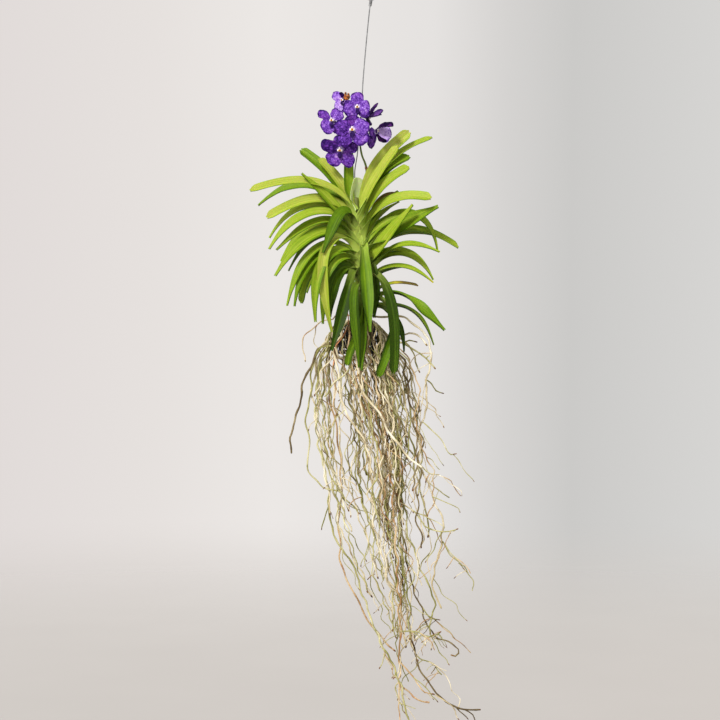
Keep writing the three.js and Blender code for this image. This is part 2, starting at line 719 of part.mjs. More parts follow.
function roots() {
  const bottom = BASKET_FLOOR + BAR + BAR_LAP / 2 + GAP;
  const crownRings = CROWN_PROFILE.map(([down, share]) => {
    const radius = CROWN.radius * share;
    const z = lerp(CROWN.top, bottom, down);
    return Array.from({ length: CROWN_SIDES }, (_, k) => {
      const angle = (2 * Math.PI * k) / CROWN_SIDES;
      return vec(CROWN.x + radius * Math.cos(angle), CROWN.y + radius * Math.sin(angle), z);
    });
  });
  const strands = [...namedRoots(), ...curtainRoots()].map(({ points, radius }) => {
    const radii = points.map((_, i) => radius * lerp(1, ROOT_TIP, i / (points.length - 1)));
    return tube(points, radii, ROOT_SIDES);
  });
  return [solid(loft(crownRings)), ...strands];
}

// ---------------------------------------------------------------- flowers
// angle from the top, length, width, lean forward, curl along the length, raised in front of the others
const OPEN = [
  [0, 30, 27, 4, -14, 0],
  [138, 39, 29, 2, -12, 0],
  [-138, 39, 29, 2, -12, 0],
  [63, 37, 28, 8, -22, 1.9],
  [-63, 37, 28, 8, -22, 1.9],
];
const ROUNDED = [
  [0, 37, 32, 4, -10, 0],
  [148, 31, 28, 4, -12, 0],
  [-148, 31, 28, 4, -12, 0],
  [90, 33, 32, 10, -22, 1.9],
  [-90, 33, 32, 10, -22, 1.9],
];
const OPENING = [
  [-22, 30, 26, 38, 10, 0],
  [150, 39, 28, 4, -12, 0],
  [-160, 39, 30, 4, -12, 0],
  [50, 34, 26, 45, 0, 1.9],
  [-72, 40, 30, 2, -16, 1.9],
];
const SWEPT = [
  [0, 44, 20, 14, 10, 0],
  [112, 30, 20, 20, 0, 0],
  [-112, 30, 20, 20, 0, 0],
  [42, 39, 22, 58, 0, 1.9],
  [-42, 39, 22, 58, 0, 1.9],
];
const CUPPED = [
  [0, 40, 22, 50, 44, 0],
  [150, 28, 26, 6, 0, 0],
  [-150, 44, 26, -10, 0, 0],
  [116, 33, 36, 42, 8, 1.9],
  [-98, 30, 24, 24, 0, 1.9],
];
// name, x, y, z, turn to the right, tilt up, spin clockwise, size, size of its column and lip, tepals
const BLOOMS = [
  ["top", -29.4, -20, -248, 4, 10, -4, 0.8, 0.8, ROUNDED],
  ["middle", -41.3, -46, -298, 0, 8, 0, 1, 1, OPEN],
  ["left", -81.5, -24, -272, -22, 4, 15, 0.88, 0.88, OPEN],
  ["low", -65, -24, -333.5, -10, -6, 2, 1.04, 1, OPEN],
  ["upper_left", -62, 25, -224, -38, 8, 0, 0.64, 0.6, OPENING],
  ["right", -6, 11, -268, 80, -10, 0, 0.92, 0.5, SWEPT],
  ["lower_right", 11, -8, -293, 60, 0, 0, 0.95, 0.5, CUPPED],
];
const TEPAL_STATIONS = [0, 0.2, 0.42, 0.62, 0.8, 0.93, 1];
const TEPAL_START = 3;

function tepalWidth(s) {
  const claw = 0.16 + 0.84 * ease(s / 0.5);
  const round = s < 0.58 ? 1 : Math.sqrt(Math.max(0.03, 1 - ((s - 0.58) / 0.42) ** 2));
  return claw * round;
}

// The bloom's own directions: right and up as seen from its front, and forward.
function bloomFrame([, x, y, z, turn, tilt, spin, size, heart]) {
  const [a, b, c] = [radians(turn), radians(tilt), radians(spin)];
  const forward = vec(Math.sin(a) * Math.cos(b), -Math.cos(a) * Math.cos(b), Math.sin(b));
  const upright = plus(vec(0, 0, 1), [forward, -Math.sin(b)]).normalize();
  const level = upright.clone().cross(forward);
  const up = plus(vec(0, 0, 0), [upright, Math.cos(c)], [level, Math.sin(c)]);
  const right = plus(vec(0, 0, 0), [level, Math.cos(c)], [upright, -Math.sin(c)]);
  return { centre: vec(x, y, z), right, up, forward, size, heart };
}

function tepal({ centre, right, up, forward, size }, [angle, length, width, lean, curl, raise]) {
  const a = radians(angle);
  const out = plus(vec(0, 0, 0), [right, Math.sin(a)], [up, Math.cos(a)]);
  const across = plus(vec(0, 0, 0), [right, Math.cos(a)], [up, -Math.sin(a)]);
  let p = plus(centre, [out, TEPAL_START], [forward, raise]);
  let before = 0;
  const rings = TEPAL_STATIONS.map((s) => {
    const lift = radians(lean + (curl * (s + before)) / 2);
    p = plus(p, [out, Math.cos(lift) * length * size * (s - before)]);
    p = plus(p, [forward, Math.sin(lift) * length * size * (s - before)]);
    before = s;
    const half = (width / 2) * size * tepalWidth(s);
    const arch = -0.1 * half;
    const thick = PETAL_THICKNESS * (1 - 0.5 * s);
    return [
      plus(p, [across, half], [forward, arch]), plus(p, [forward, thick / 2]),
      plus(p, [across, -half], [forward, arch]), plus(p, [forward, -thick / 2]),
    ];
  });
  return solid(loft(rings));
}

function onBloom({ centre, right, up, forward }, [u, v, n]) {
  return plus(centre, [right, u], [up, v], [forward, n]);
}

// Rings round the bloom's axis, each a height forward of its centre, a radius and a lift.
function bloomRings(frame, rows, sides) {
  const rings = rows.map(([n, radius, lift = 0]) =>
    Array.from({ length: sides }, (_, k) => {
      const a = (2 * Math.PI * k) / sides;
      return onBloom(frame, [radius * Math.cos(a), radius * Math.sin(a) + lift, n]);
    }),
  );
  return solid(loft(rings));
}

function petals(row) {
  const frame = bloomFrame(row);
  const hub = bloomRings(frame, HUB, 6);
  return [hub, ...row.at(-1).map((shape) => tepal(frame, shape))];
}

function column(row) {
  const frame = bloomFrame(row);
  const s = frame.heart;
  const rows = COLUMN.map(([n, radius, lift]) => [HUB_TOP + GAP + n * s, radius * s, lift * s]);
  return bloomRings(frame, rows, 6);
}

// The lip: a tongue that stands forward from the hub and turns down.
function lip(row) {
  const frame = bloomFrame(row);
  const s = frame.heart;
  const rings = LIP.map(([down, n, half]) =>
    [[half, n - 0.6], [0, n + 0.7], [-half, n - 0.6], [0, n - 1.2]].map(([a, c]) =>
      onBloom(frame, [a * s, -down * s, HUB_TOP + GAP + c * s]),
    ),
  );
  return solid(loft(rings));
}

// ---------------------------------------------------------------- flower spike
const SPIKE = [
  [-24, 5, -505], [-17, 14, -455], [-11, 17, -410], [-10, 13, -368], [-19, 7, -342], [-23, 4, -319],
  [-25, 3, -290], [-31, 2, -262], [-42, 0, -244], [-50, -2, -234],
].map(([x, y, z]) => vec(x, y, z));
const SPIKE_RADIUS = [2.8, 1.5];
const BRACT_AT = 3;
const PEDICEL_RADIUS = 1.3;
// The spike point that each bloom's own stalk leaves from, and one that it passes on its way.
const STALKS = {
  top: [7],
  middle: [6],
  left: [6],
  low: [5],
  upper_left: [7, [-35, 26, -252]],
  right: [6],
  lower_right: [5],
};
const STALK_BEHIND = 14;
const STALK_STEPS = 4;

function flowerSpike() {
  const radii = SPIKE.map((_, i) => lerp(...SPIKE_RADIUS, i / (SPIKE.length - 1)));
  const stalks = BLOOMS.map((row) => {
    const frame = bloomFrame(row);
    const end = onBloom(frame, [0, 0, HUB[0][0] - GAP]);
    const bend = onBloom(frame, [0, 0, -STALK_BEHIND]);
    const [from, via] = STALKS[row[0]];
    const start = SPIKE[from];
    const middle = via ? vec(...via) : bend.clone().lerp(start, 0.35);
    const curve = new THREE.CatmullRomCurve3([start, middle, bend, end]);
    const points = curve.getPoints(STALK_STEPS);
    return tube(points, points.map(() => PEDICEL_RADIUS), 4);
  });
  const bract = ball(SPIKE[BRACT_AT], 3.4, 3.4, 5, 6, 4);
  return [tube(SPIKE, radii, 5), bract, ...stalks];
}

function driedBuds() {
  const tip = SPIKE.at(-1);
  const buds = [[-2, 0, 8, 4.6, 8], [3, -2, 11, 4, 7], [-1, 1, 16, 3.6, 6]];
  return buds.map(([x, y, z, r, h]) => ball(plus(tip, [vec(x, y, z), 1]), r, r, h, 6, 4));
}

// ---------------------------------------------------------------- the whole plant
const group = new THREE.Group();
const BASKET_BLACK = 0x1c1f24;
const STEEL = 0x9a9c9e;
const GREEN = 0x7f9f2c;
const ROOT_BROWN = 0xb7a581;
const VIOLET = 0x4a2c96;
const DARK_VIOLET = 0x241048;
const CREAM = 0xf0e4d6;
const DRIED_BROWN = 0x9a5c1c;

const plantBody = fuse(leafyStem());
const plantSpace = Manifold.union(leafyStem(GAP));
group.add(mesh("leafy_stem", plantBody, GREEN, 0.5));

const rootBody = mainBody(fuse(roots()).subtract(plantSpace));
group.add(mesh("roots", rootBody, ROOT_BROWN, 0.85));

group.add(mesh("flower_spike", mainBody(fuse(flowerSpike()).subtract(plantSpace)), GREEN, 0.6));
group.add(mesh("dried_buds", fuse(driedBuds()), DRIED_BROWN, 0.9));
for (const row of BLOOMS) {
  group.add(mesh(`bloom_${row[0]}_petals`, fuse(petals(row)), VIOLET, 0.55));
  group.add(mesh(`bloom_${row[0]}_column`, column(row), CREAM, 0.5));
  group.add(mesh(`bloom_${row[0]}_lip`, lip(row), DARK_VIOLET, 0.5));
}
group.add(mesh("basket", fuse(basket()), BASKET_BLACK, 0.6));
group.add(mesh("wire_hanger", fuse(wireHanger()), STEEL, 0.4, 0.9));

export default group;
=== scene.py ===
import math
from collections import namedtuple

import bpy
from mathutils import Matrix, Vector


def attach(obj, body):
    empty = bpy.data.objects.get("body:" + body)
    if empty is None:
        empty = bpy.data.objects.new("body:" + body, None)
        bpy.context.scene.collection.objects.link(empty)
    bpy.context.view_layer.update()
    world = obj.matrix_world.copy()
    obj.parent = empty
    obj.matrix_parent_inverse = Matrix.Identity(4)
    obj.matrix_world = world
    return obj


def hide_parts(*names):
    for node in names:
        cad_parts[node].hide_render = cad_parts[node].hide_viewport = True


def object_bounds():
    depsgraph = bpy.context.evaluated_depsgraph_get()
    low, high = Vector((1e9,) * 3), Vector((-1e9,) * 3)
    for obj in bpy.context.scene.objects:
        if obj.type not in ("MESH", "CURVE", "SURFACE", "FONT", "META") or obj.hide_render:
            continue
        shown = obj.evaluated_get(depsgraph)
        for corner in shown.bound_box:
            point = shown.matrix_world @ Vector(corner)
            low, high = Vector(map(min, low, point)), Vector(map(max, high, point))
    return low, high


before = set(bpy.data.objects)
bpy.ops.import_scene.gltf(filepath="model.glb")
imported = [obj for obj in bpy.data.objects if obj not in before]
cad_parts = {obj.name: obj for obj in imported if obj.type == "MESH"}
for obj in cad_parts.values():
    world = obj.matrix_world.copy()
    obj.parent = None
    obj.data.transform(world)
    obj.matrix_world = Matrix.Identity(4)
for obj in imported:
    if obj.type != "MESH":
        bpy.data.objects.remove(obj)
cad_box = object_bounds()

MM = 0.001
LEFT, RIGHT = -1, 1
IN_ROW = 0.25  # share of a step within which a vertex belongs to a row or a lane of a blank
WELD = 0.00002  # vertices that lie nearer than this are one


# ---------------------------------------------------------------- small helpers
def lerp(a, b, t):
    return a + (b - a) * t


def held(value, low, high):
    return min(max(value, low), high)


def ease(t):
    t = held(t, 0.0, 1.0)
    return t * t * (3 - 2 * t)


def along(rows, key, column=1):
    """Value of a line given as (key, value, ...) rows at a key, the keys falling."""
    if key >= rows[0][0]:
        return rows[0][column]
    for a, b in zip(rows, rows[1:]):
        if key >= b[0]:
            return lerp(a[column], b[column], (a[0] - key) / (a[0] - b[0]))
    return rows[-1][column]


def seeded(seed):
    """Repeatable random numbers between 0 and 1."""
    state = seed

    def draw():
        nonlocal state
        state = (state + 0x6D2B79F5) & 0xFFFFFFFF
        t = ((state ^ (state >> 15)) * (1 | state)) & 0xFFFFFFFF
        t = ((t + (((t ^ (t >> 7)) * (61 | t)) & 0xFFFFFFFF)) & 0xFFFFFFFF) ^ t
        return ((t ^ (t >> 14)) & 0xFFFFFFFF) / 4294967296

    return draw


def spread(random):
    """A function that draws a number between two others."""
    return lambda low, high: lerp(low, high, random())


def smooth_path(points, step):
    """Points about one step apart on a smooth line through the given ones."""
    made = []
    ends = [points[0] * 2 - points[1], *points, points[-1] * 2 - points[-2]]
    for a, b, c, d in zip(ends, ends[1:], ends[2:], ends[3:]):
        count = max(1, round((c - b).length / step))
        for k in range(count):
            t = k / count
            made.append(
                0.5 * (2 * b + (c - a) * t + (2 * a - 5 * b + 4 * c - d) * t**2
                       + (3 * b - a - 3 * c + d) * t**3)
            )
    return [*made, points[-1].copy()]


# ---------------------------------------------------------------- modelling helpers
def deselect():
    if bpy.context.object and bpy.context.object.mode != "OBJECT":
        bpy.ops.object.mode_set(mode="OBJECT")
    bpy.ops.object.select_all(action="DESELECT")


def only(piece):
    """Makes a piece the one that the operators work on."""
    deselect()
    piece.select_set(True)
    bpy.context.view_layer.objects.active = piece
    return piece


def select_where(piece, test):
    """In edit mode, selects the vertices whose place passes a test."""
    only(piece)
    bpy.ops.object.mode_set(mode="EDIT")
    bpy.ops.mesh.select_mode(type="VERT")
    bpy.ops.mesh.select_all(action="DESELECT")
    bpy.ops.object.mode_set(mode="OBJECT")
    for vertex in piece.data.vertices:
        vertex.select = test(vertex.co)
    bpy.ops.object.mode_set(mode="EDIT")


def object_mode():
    bpy.ops.object.mode_set(mode="OBJECT")


def grid(name, steps, lanes):
    """A flat sheet one long in X and one wide in Y, its near end on the Y axis."""
    deselect()
    bpy.ops.mesh.primitive_grid_add(
        x_subdivisions=steps, y_subdivisions=lanes, size=1, location=(0.5, 0, 0)
    )
    sheet = bpy.context.object
    sheet.name = name
    bpy.ops.object.transform_apply(location=True)
    return sheet


def ball(spot, half_sizes, segments, rings, turn=0):
    """A sphere stretched to its half sizes and turned about Y, all in millimetres and degrees."""
    deselect()
    bpy.ops.mesh.primitive_uv_sphere_add(
        segments=segments, ring_count=rings, radius=MM, location=Vector(spot) * MM,
        rotation=(0, math.radians(turn), 0), scale=half_sizes,
    )
    piece = only(bpy.context.object)
    bpy.ops.object.transform_apply(location=True, rotation=True, scale=True)
    return piece


def shape_rows(sheet, steps, size_at):
    """Resizes each row of a sheet across and in height, by the shares that size_at gives along it."""
    for row in range(steps + 1):
        t = row / steps
        select_where(sheet, lambda co: abs(co.x - t) < IN_ROW / steps)
        bpy.ops.transform.resize(value=(1, *size_at(t)), center_override=(t, 0, 0))
    object_mode()


def raise_lanes(sheet, lanes, height_at):
    """Lifts each lane along a sheet by the height that height_at gives at its distance from the middle."""
    for lane in range(lanes // 2 + 1):
        y = lane / lanes
        select_where(sheet, lambda co: abs(abs(co.y) - y) < IN_ROW / lanes)
        bpy.ops.transform.translate(value=(0, 0, height_at(y)))
    object_mode()


def copy_of(blank, name):
    piece = blank.copy()
    piece.data = blank.data.copy()
    piece.name = name
    bpy.context.collection.objects.link(piece)
    return only(piece)


def apply_modifier(piece, kind, **settings):
    only(piece)
    modifier = piece.modifiers.new(kind.title(), kind)
    for key, value in settings.items():
        setattr(modifier, key, value)
    bpy.ops.object.modifier_apply(modifier=modifier.name)


def displace(piece, texture, strength, mid_level=0.5, **settings):
    """Pushes a surface in and out by a soft texture."""
    apply_modifier(
        piece, "DISPLACE", texture=texture, strength=strength, mid_level=mid_level,
        texture_coords="LOCAL", **settings,
    )


def place(piece, matrix):
    only(piece)
    piece.matrix_world = matrix
    bpy.ops.object.transform_apply(location=True, rotation=True, scale=True)


def cut_from(blank, name, length, width):
    """A copy of a blank at a length and width in millimetres."""
    piece = copy_of(blank, name)
    place(piece, Matrix.Diagonal((length * MM, width * MM, width * MM, 1)))
    return piece


def join(pieces, name):
    deselect()
    for piece in pieces:
        piece.select_set(True)
    bpy.context.view_layer.objects.active = pieces[0]
    if len(pieces) > 1:
        bpy.ops.object.join()
    piece = bpy.context.view_layer.objects.active
    piece.name = name
    return piece


def smooth(piece, degrees=40):
    only(piece)
    bpy.ops.object.shade_smooth_by_angle(angle=math.radians(degrees))
    return piece


def remove(piece):
    bpy.data.objects.remove(piece, do_unlink=True)


def dress(piece, *paints):
    """Gives a piece its materials in order."""
    piece.data.materials.clear()
    for paint in paints:
        piece.data.materials.append(paint)
    return piece


def note(piece, name, value):
    """Writes one number over the whole of a piece, for its material to read."""
    layer = piece.data.attributes.new(name, "FLOAT", "POINT")
    layer.data.foreach_set("value", [value] * len(piece.data.vertices))


def spine(points, tilts):
    """A curve for a flat blank to be bent along."""
    data = bpy.data.curves.new("spine", "CURVE")
    data.dimensions = "3D"
    data.twist_mode = "MINIMUM"
    line = data.splines.new("POLY")
    line.points.add(len(points) - 1)
    for knot, point, tilt in zip(line.points, points, tilts):
        knot.co = (*point, 1)
        knot.tilt = tilt
    curve = bpy.data.objects.new("spine", data)
    bpy.context.collection.objects.link(curve)
    return curve


def climb(degrees, distance):
    """A step along X that climbs at an angle."""
    lift = math.radians(degrees)
    return Vector((math.cos(lift), 0, math.sin(lift))) * distance


def bend_along(piece, points, tilts):
    """Bends a flat piece along a line of points, tilted about the line at each."""
    curve = spine(points, tilts)
    apply_modifier(piece, "CURVE", object=curve, deform_axis="POS_X")
    remove(curve)


def axes(along_x, along_y, along_z):
    """The turn that lays a piece's own axes along three others."""
    return Matrix((along_x, along_y, along_z)).transposed().to_4x4()


def radii_along(path, radius_at):
    """A radius for each point of a path, from millimetres at its share of the way along."""
    last = len(path) - 1
    return [radius_at(i / last) * MM for i in range(last + 1)]


def rods(name, strands, paints, resolution=1):
    """One mesh of round strands. A strand is (points, radii, which paint)."""
    data = bpy.data.curves.new(name, "CURVE")
    data.dimensions = "3D"
    data.bevel_depth = 1
    data.bevel_resolution = resolution
    data.use_fill_caps = True
    for paint in paints:
        data.materials.append(paint)
    for points, radii, which in strands:
        line = data.splines.new("POLY")
        line.points.add(len(points) - 1)
        line.material_index = which
        line.use_smooth = True
        for knot, point, radius in zip(line.points, points, radii):
            knot.co = (*point, 1)
            knot.radius = radius
    piece = bpy.data.objects.new(name, data)
    bpy.context.collection.objects.link(piece)
    only(piece)
    bpy.ops.object.convert(target="MESH")
    piece = bpy.context.object
    bpy.ops.object.mode_set(mode="EDIT")
    bpy.ops.mesh.select_all(action="SELECT")
    bpy.ops.mesh.remove_doubles(threshold=WELD)
    bpy.ops.mesh.normals_make_consistent(inside=False)
    object_mode()
    return smooth(piece, 60)


# ---------------------------------------------------------------- shader maths
class Value:
    """A socket on its way through a material, with Python's own operators."""

    def __init__(self, paint, socket):
        self.paint = paint
        self.socket = socket

    def maths(self, operation, a, b=None):
        inputs = {0: a} if b is None else {0: a, 1: b}
        return self.paint.node("ShaderNodeMath", {"operation": operation}, inputs)

    def __add__(self, other):
        return self.maths("ADD", self, other)

    def __radd__(self, other):
        return self.maths("ADD", other, self)

    def __sub__(self, other):
        return self.maths("SUBTRACT", self, other)

    def __rsub__(self, other):
        return self.maths("SUBTRACT", other, self)

    def __mul__(self, other):
        return self.maths("MULTIPLY", self, other)

    def __rmul__(self, other):
        return self.maths("MULTIPLY", other, self)

    def __abs__(self):
        return self.maths("ABSOLUTE", self)

    def step(self, low, high):
        """0 below low, 1 above high, and a smooth rise between them."""
        settings = {"interpolation_type": "SMOOTHSTEP"}
        inputs = {"Value": self, "From Min": low, "From Max": high}
        return self.paint.node("ShaderNodeMapRange", settings, inputs)


def colour(red, green, blue):
    """A colour given as it is seen on a screen, 0 to 255, as the light that it reflects."""
    parts = [c / 255 for c in (red, green, blue)]
    return (*[c / 12.92 if c <= 0.04045 else ((c + 0.055) / 1.055) ** 2.4 for c in parts], 1)


def shades(*stops):
    """The stops of a ramp, from rows of position, red, green and blue."""
    return [(position, colour(*parts)) for position, *parts in stops]


class Paint:
    """A material under one Principled shader."""

    def __init__(self, name, **constants):
        self.material = bpy.data.materials.new(name)
        self.material.use_nodes = True
        self.tree = self.material.node_tree
        self.shader = next(n for n in self.tree.nodes if n.type == "BSDF_PRINCIPLED")
        for key, value in constants.items():
            self.shader.inputs[key.replace("_", " ").title().replace("Ior", "IOR")].default_value = value

    def node(self, kind, settings=None, inputs=None, output=0):
        made = self.tree.nodes.new(kind)
        for key, value in (settings or {}).items():
            if key == "stops":
                self.set_stops(made.color_ramp, value)
            else:
                setattr(made, key, value)
        for key, value in (inputs or {}).items():
            if isinstance(value, Value):
                self.tree.links.new(value.socket, made.inputs[key])
            else:
                made.inputs[key].default_value = value
        return Value(self, made.outputs[output])

    @staticmethod
    def set_stops(ramp, stops):
        while len(ramp.elements) < len(stops):
            ramp.elements.new(0.5)
        for element, (position, shade) in zip(ramp.elements, stops):
            element.position = position
            element.color = shade

    def place(self):
        return self.node("ShaderNodeTexCoord", output="Object")

    def map(self):
        """The piece's own map: along it, and across it."""
        split = self.node("ShaderNodeSeparateXYZ", None, {0: self.node("ShaderNodeUVMap")})
        return split, Value(self, split.socket.node.outputs[1])

    def own(self, name):
        return self.node("ShaderNodeAttribute", {"attribute_name": name}, output="Fac")

    def stretched(self, vector, scale):
        return self.node("ShaderNodeMapping", None, {"Vector": vector, "Scale": scale})

    def noise(self, vector, scale, detail=2.0, roughness=0.5):
        inputs = {"Vector": vector, "Scale": scale, "Detail": detail, "Roughness": roughness}
        return self.node("ShaderNodeTexNoise", None, inputs)

    def cells(self, vector, scale, feature="DISTANCE_TO_EDGE"):
        inputs = {"Vector": vector, "Scale": scale}
        return self.node("ShaderNodeTexVoronoi", {"feature": feature}, inputs)

    def ramp(self, value, stops):
        return self.node("ShaderNodeValToRGB", {"stops": stops}, {0: value})

    def mix(self, factor, a, b):
        return self.node("ShaderNodeMix", {"data_type": "RGBA"}, {0: factor, 6: a, 7: b}, output=2)

    def combine(self, x, y, z=0):
        return self.node("ShaderNodeCombineXYZ", None, {0: x, 1: y, 2: z})

    def bump(self, height, strength, distance):
        inputs = {"Height": height, "Strength": strength, "Distance": distance}
        return self.node("ShaderNodeBump", None, inputs)

    def feed(self, **sockets):
        for key, value in sockets.items():
            self.tree.links.new(value.socket, self.shader.inputs[key.replace("_", " ").title()])
        return self.material

    def finish(self, ground, roughness, relief, strength, distance):
        """The whole finish of a skin: its colour, its roughness and its fine relief."""
        raised = self.bump(relief, strength, distance)
        return self.feed(base_color=ground, roughness=roughness, normal=raised)


# ---------------------------------------------------------------- materials
def leaf_paint(name, stops, gloss):
    """Waxy strap leaf: long parallel veins, a creased keel darkened as painted shade, one half painted
    deeper green as painted shade, and tips that yellow with age.
    """
    paint = Paint(
        name, specular_ior_level=0.1, subsurface_weight=0.3, subsurface_radius=(0.5, 1, 0.2),
        subsurface_scale=0.003,
    )
    length, width = paint.map()
    spot = paint.place()
    tone = paint.own("tone")
    patches = paint.noise(spot, 14, 3)
    fine = paint.noise(spot, 160, 2)
    from_keel = abs(width - 0.5) * 2
    veins = paint.noise(paint.combine(length * 0.8, width * 22, tone * 9), 1.6, 2)
    bands = paint.noise(paint.combine(length * 0.9, width * 5, tone * 9 + 4), 1.6, 2)
    # Painted shade: one half of each blade, picked by the leaf's side of the stem, is painted a deeper green
    # as the half turned from the light.
    shade_turned_from_light = (0.5 - width) * paint.own("side")
    shade = tone + (patches - 0.5) * 0.26 + (veins - 0.5) * 0.5 + (bands - 0.5) * 0.42
    shade = shade + (fine - 0.5) * 0.1 + 0.06
    shade = shade - from_keel.step(0.8, 1.0) * 0.12 - shade_turned_from_light.step(0.08, 0.42) * 0.18
    ground = paint.ramp(shade, stops)
    # Painted shade: the keel's groove is painted a darker green, as the shade that falls in its crease; the
    # same mask also sinks the groove in the relief.
    keel = 1 - from_keel.step(0.0, 0.1)
    ground = paint.mix(keel * 0.4, ground, stops[1][1])
    # Leaf bases are painted paler: partly their own paler green, and partly painted light where the crowded
    # bases stand in shade.
    pale_and_lit_base = (1 - length.step(0.0, 0.36)) * (tone * 0.7 + 0.4)
    ground = paint.mix(pale_and_lit_base, ground, colour(196, 216, 100))
    reach = length + (patches - 0.5) * 0.18 + from_keel * 0.03 + paint.own("age") * 0.3
    # The palest tones, on the young leaf, turn a whitish green: partly its own young green, and partly
    # painted light on a face turned from the sun.
    ground = paint.mix(tone.step(1.2, 1.5) * 0.8, ground, colour(214, 228, 168))
    worn = reach.step(1.1, 1.26)
    ground = paint.mix(worn, ground, colour(186, 172, 44))
    ground = paint.mix(reach.step(1.26, 1.42) * 0.9, ground, colour(108, 86, 46))
    freckle = paint.cells(spot, 210, "F1").step(0.0, 0.22)
    ground = paint.mix((1 - freckle) * patches.step(0.58, 0.7) * 0.5, ground, colour(84, 70, 26))
    relief = veins * 0.6 - keel * 0.5 + fine * 0.15
    rough = gloss + (patches - 0.5) * 0.16 + worn * 0.2
    return paint.finish(ground, rough, relief, 0.35, 0.0009)


GREENS = shades(
    (0.0, 42, 64, 4), (0.26, 94, 128, 14), (0.52, 142, 164, 38), (0.78, 173, 179, 74), (1.0, 194, 194, 116)
)
# The underside's duller green, painted darker still as painted shade.
DULL_AND_SHADED_GREENS = shades(
    (0.0, 24, 38, 4), (0.26, 62, 88, 12), (0.52, 106, 126, 32), (0.78, 144, 154, 62), (1.0, 174, 178, 104)
)
LEAF_FACE = leaf_paint("leaf_face", GREENS, 0.48)
LEAF_UNDERSIDE = leaf_paint("leaf_underside", DULL_AND_SHADED_GREENS, 0.52)


def bark_paint():
    """The stem, wrapped in the papery remains of old leaf bases."""
    paint = Paint("stem_skin")
    spot = paint.place()
    fibres = paint.noise(paint.stretched(spot, (220, 220, 16)), 1, 3)
    patches = paint.noise(spot, 30, 2)
    husks = shades((0.3, 52, 56, 22), (0.5, 104, 112, 46), (0.7, 140, 126, 84))
    ground = paint.ramp(fibres * 0.6 + patches * 0.4, husks)
    return paint.finish(ground, 0.7 + (patches - 0.5) * 0.2, fibres, 0.4, 0.001)


STEM_SKIN = bark_paint()


def root_paint(name, low, middle, high, stain):
    """Spongy skin of an aerial root: pale when dry, greener and browner in patches along it."""
    paint = Paint(name, specular_ior_level=0.25)
    spot = paint.place()
    long_patches = paint.noise(paint.stretched(spot, (1, 1, 0.55)), 24, 3)
    flecks = paint.noise(spot, 320, 3, 0.7)
    rings = paint.noise(paint.stretched(spot, (90, 90, 420)), 1, 2)
    height = paint.node("ShaderNodeSeparateXYZ", None, {0: spot}, output=2)
    # The skin is painted a little darker towards the bottom.
    shade = long_patches + (flecks - 0.5) * 0.4 - (1 - height.step(-1.4, -0.9)) * 0.07
    ground = paint.ramp(shade, [(0.32, low), (0.5, middle), (0.68, high)])
    marks = paint.noise(paint.stretched(spot, (1, 1, 0.8)), 58, 2)
    ground = paint.mix(marks.step(0.57, 0.7) * 0.7, ground, stain)
    relief = flecks * 0.5 + rings * 0.5
    return paint.finish(ground, 0.78 + (flecks - 0.5) * 0.25, relief, 0.6, 0.0007)


# name, then the dark, middle and pale shade of a root's skin and the shade of its stains
ROOT_SHADES = [
    ("root_cream", (184, 168, 128), (216, 204, 172), (234, 227, 204), (164, 142, 98)),
    ("root_silver", (122, 120, 62), (174, 168, 112), (214, 208, 170), (112, 114, 44)),
    ("root_tan", (146, 112, 70), (194, 164, 120), (224, 206, 168), (146, 92, 56)),
    ("root_brown", (82, 68, 44), (126, 110, 74), (172, 158, 118), (74, 56, 34)),
    ("root_tip", (88, 58, 34), (128, 88, 52), (150, 128, 70), (70, 40, 28)),
    ("root_young", (170, 96, 56), (212, 144, 98), (232, 184, 140), (146, 80, 48)),
]
CREAM, SILVER, TAN, BROWN, TIP, YOUNG = range(len(ROOT_SHADES))
ROOT_SKINS = [root_paint(name, *[colour(*shade) for shade in row]) for name, *row in ROOT_SHADES]


def petal_paint(name, stops, heart, edge):
    """Satin petal: a net of darker veins between pale cells, deeper at its margin, partly its own deeper
    violet and partly painted shade where petals overlap.
    """
    paint = Paint(name, specular_ior_level=0.03)
    length, width = paint.map()
    spot = paint.place()
    tone = paint.own("tone")
    aside = abs(width - 0.5) * 2
    wander = paint.noise(spot, 90, 2)
    astray = (wander - 0.5) * 1.6
    drawn = paint.combine(length * 6 + astray, width * 6 + astray, tone * 7)
    web = 1 - paint.cells(drawn, 1.0).step(0.0, 0.3)
    cloud = paint.noise(spot, 85, 3, 0.6)
    fine = paint.noise(spot, 260, 2)
    rays = paint.noise(paint.combine(length * 1.5, width * 16), 1.0, 2)
    shade = tone + 0.11 - web * 0.24 + (cloud - 0.5) * 1.3 + (rays - 0.5) * 0.6 + (fine - 0.5) * 0.7
    # Painted shade: the deep margin is partly the petal's own deeper violet and partly the shade where
    # petals overlap; edge is its colour.
    margin = (aside * 0.8 + length.step(0.55, 1.0) * 0.6 + (cloud - 0.5) * 0.5).step(0.7, 1.1)
    ground = paint.ramp(shade - margin * 0.3, stops)
    ground = paint.mix(cloud.step(0.5, 0.66) * 0.35, ground, colour(116, 44, 138))
    ground = paint.mix(margin * 0.5, ground, edge)
    claw = 1 - (length + aside * 0.1).step(0.02, 0.2)
    ground = paint.mix(claw * 0.7, ground, heart)
    relief = (1 - web) * 0.4 + fine * 0.4 + rays * 0.5
    return paint.finish(ground, 0.56 + (cloud - 0.5) * 0.2, relief, 0.4, 0.0006)


VIOLETS = shades(
    (0.05, 38, 12, 74), (0.32, 78, 40, 128), (0.55, 112, 66, 172), (0.8, 157, 118, 206),
    (1.0, 204, 176, 236),
)
DULL_VIOLETS = shades((0.05, 24, 8, 44), (0.4, 48, 24, 80), (0.7, 82, 52, 120), (1.0, 120, 92, 158))
PETAL_FACE = petal_paint("petal_face", VIOLETS, colour(206, 186, 226), colour(36, 12, 86))
PETAL_BACK = petal_paint("petal_back", DULL_VIOLETS, colour(112, 96, 124), colour(22, 8, 52))


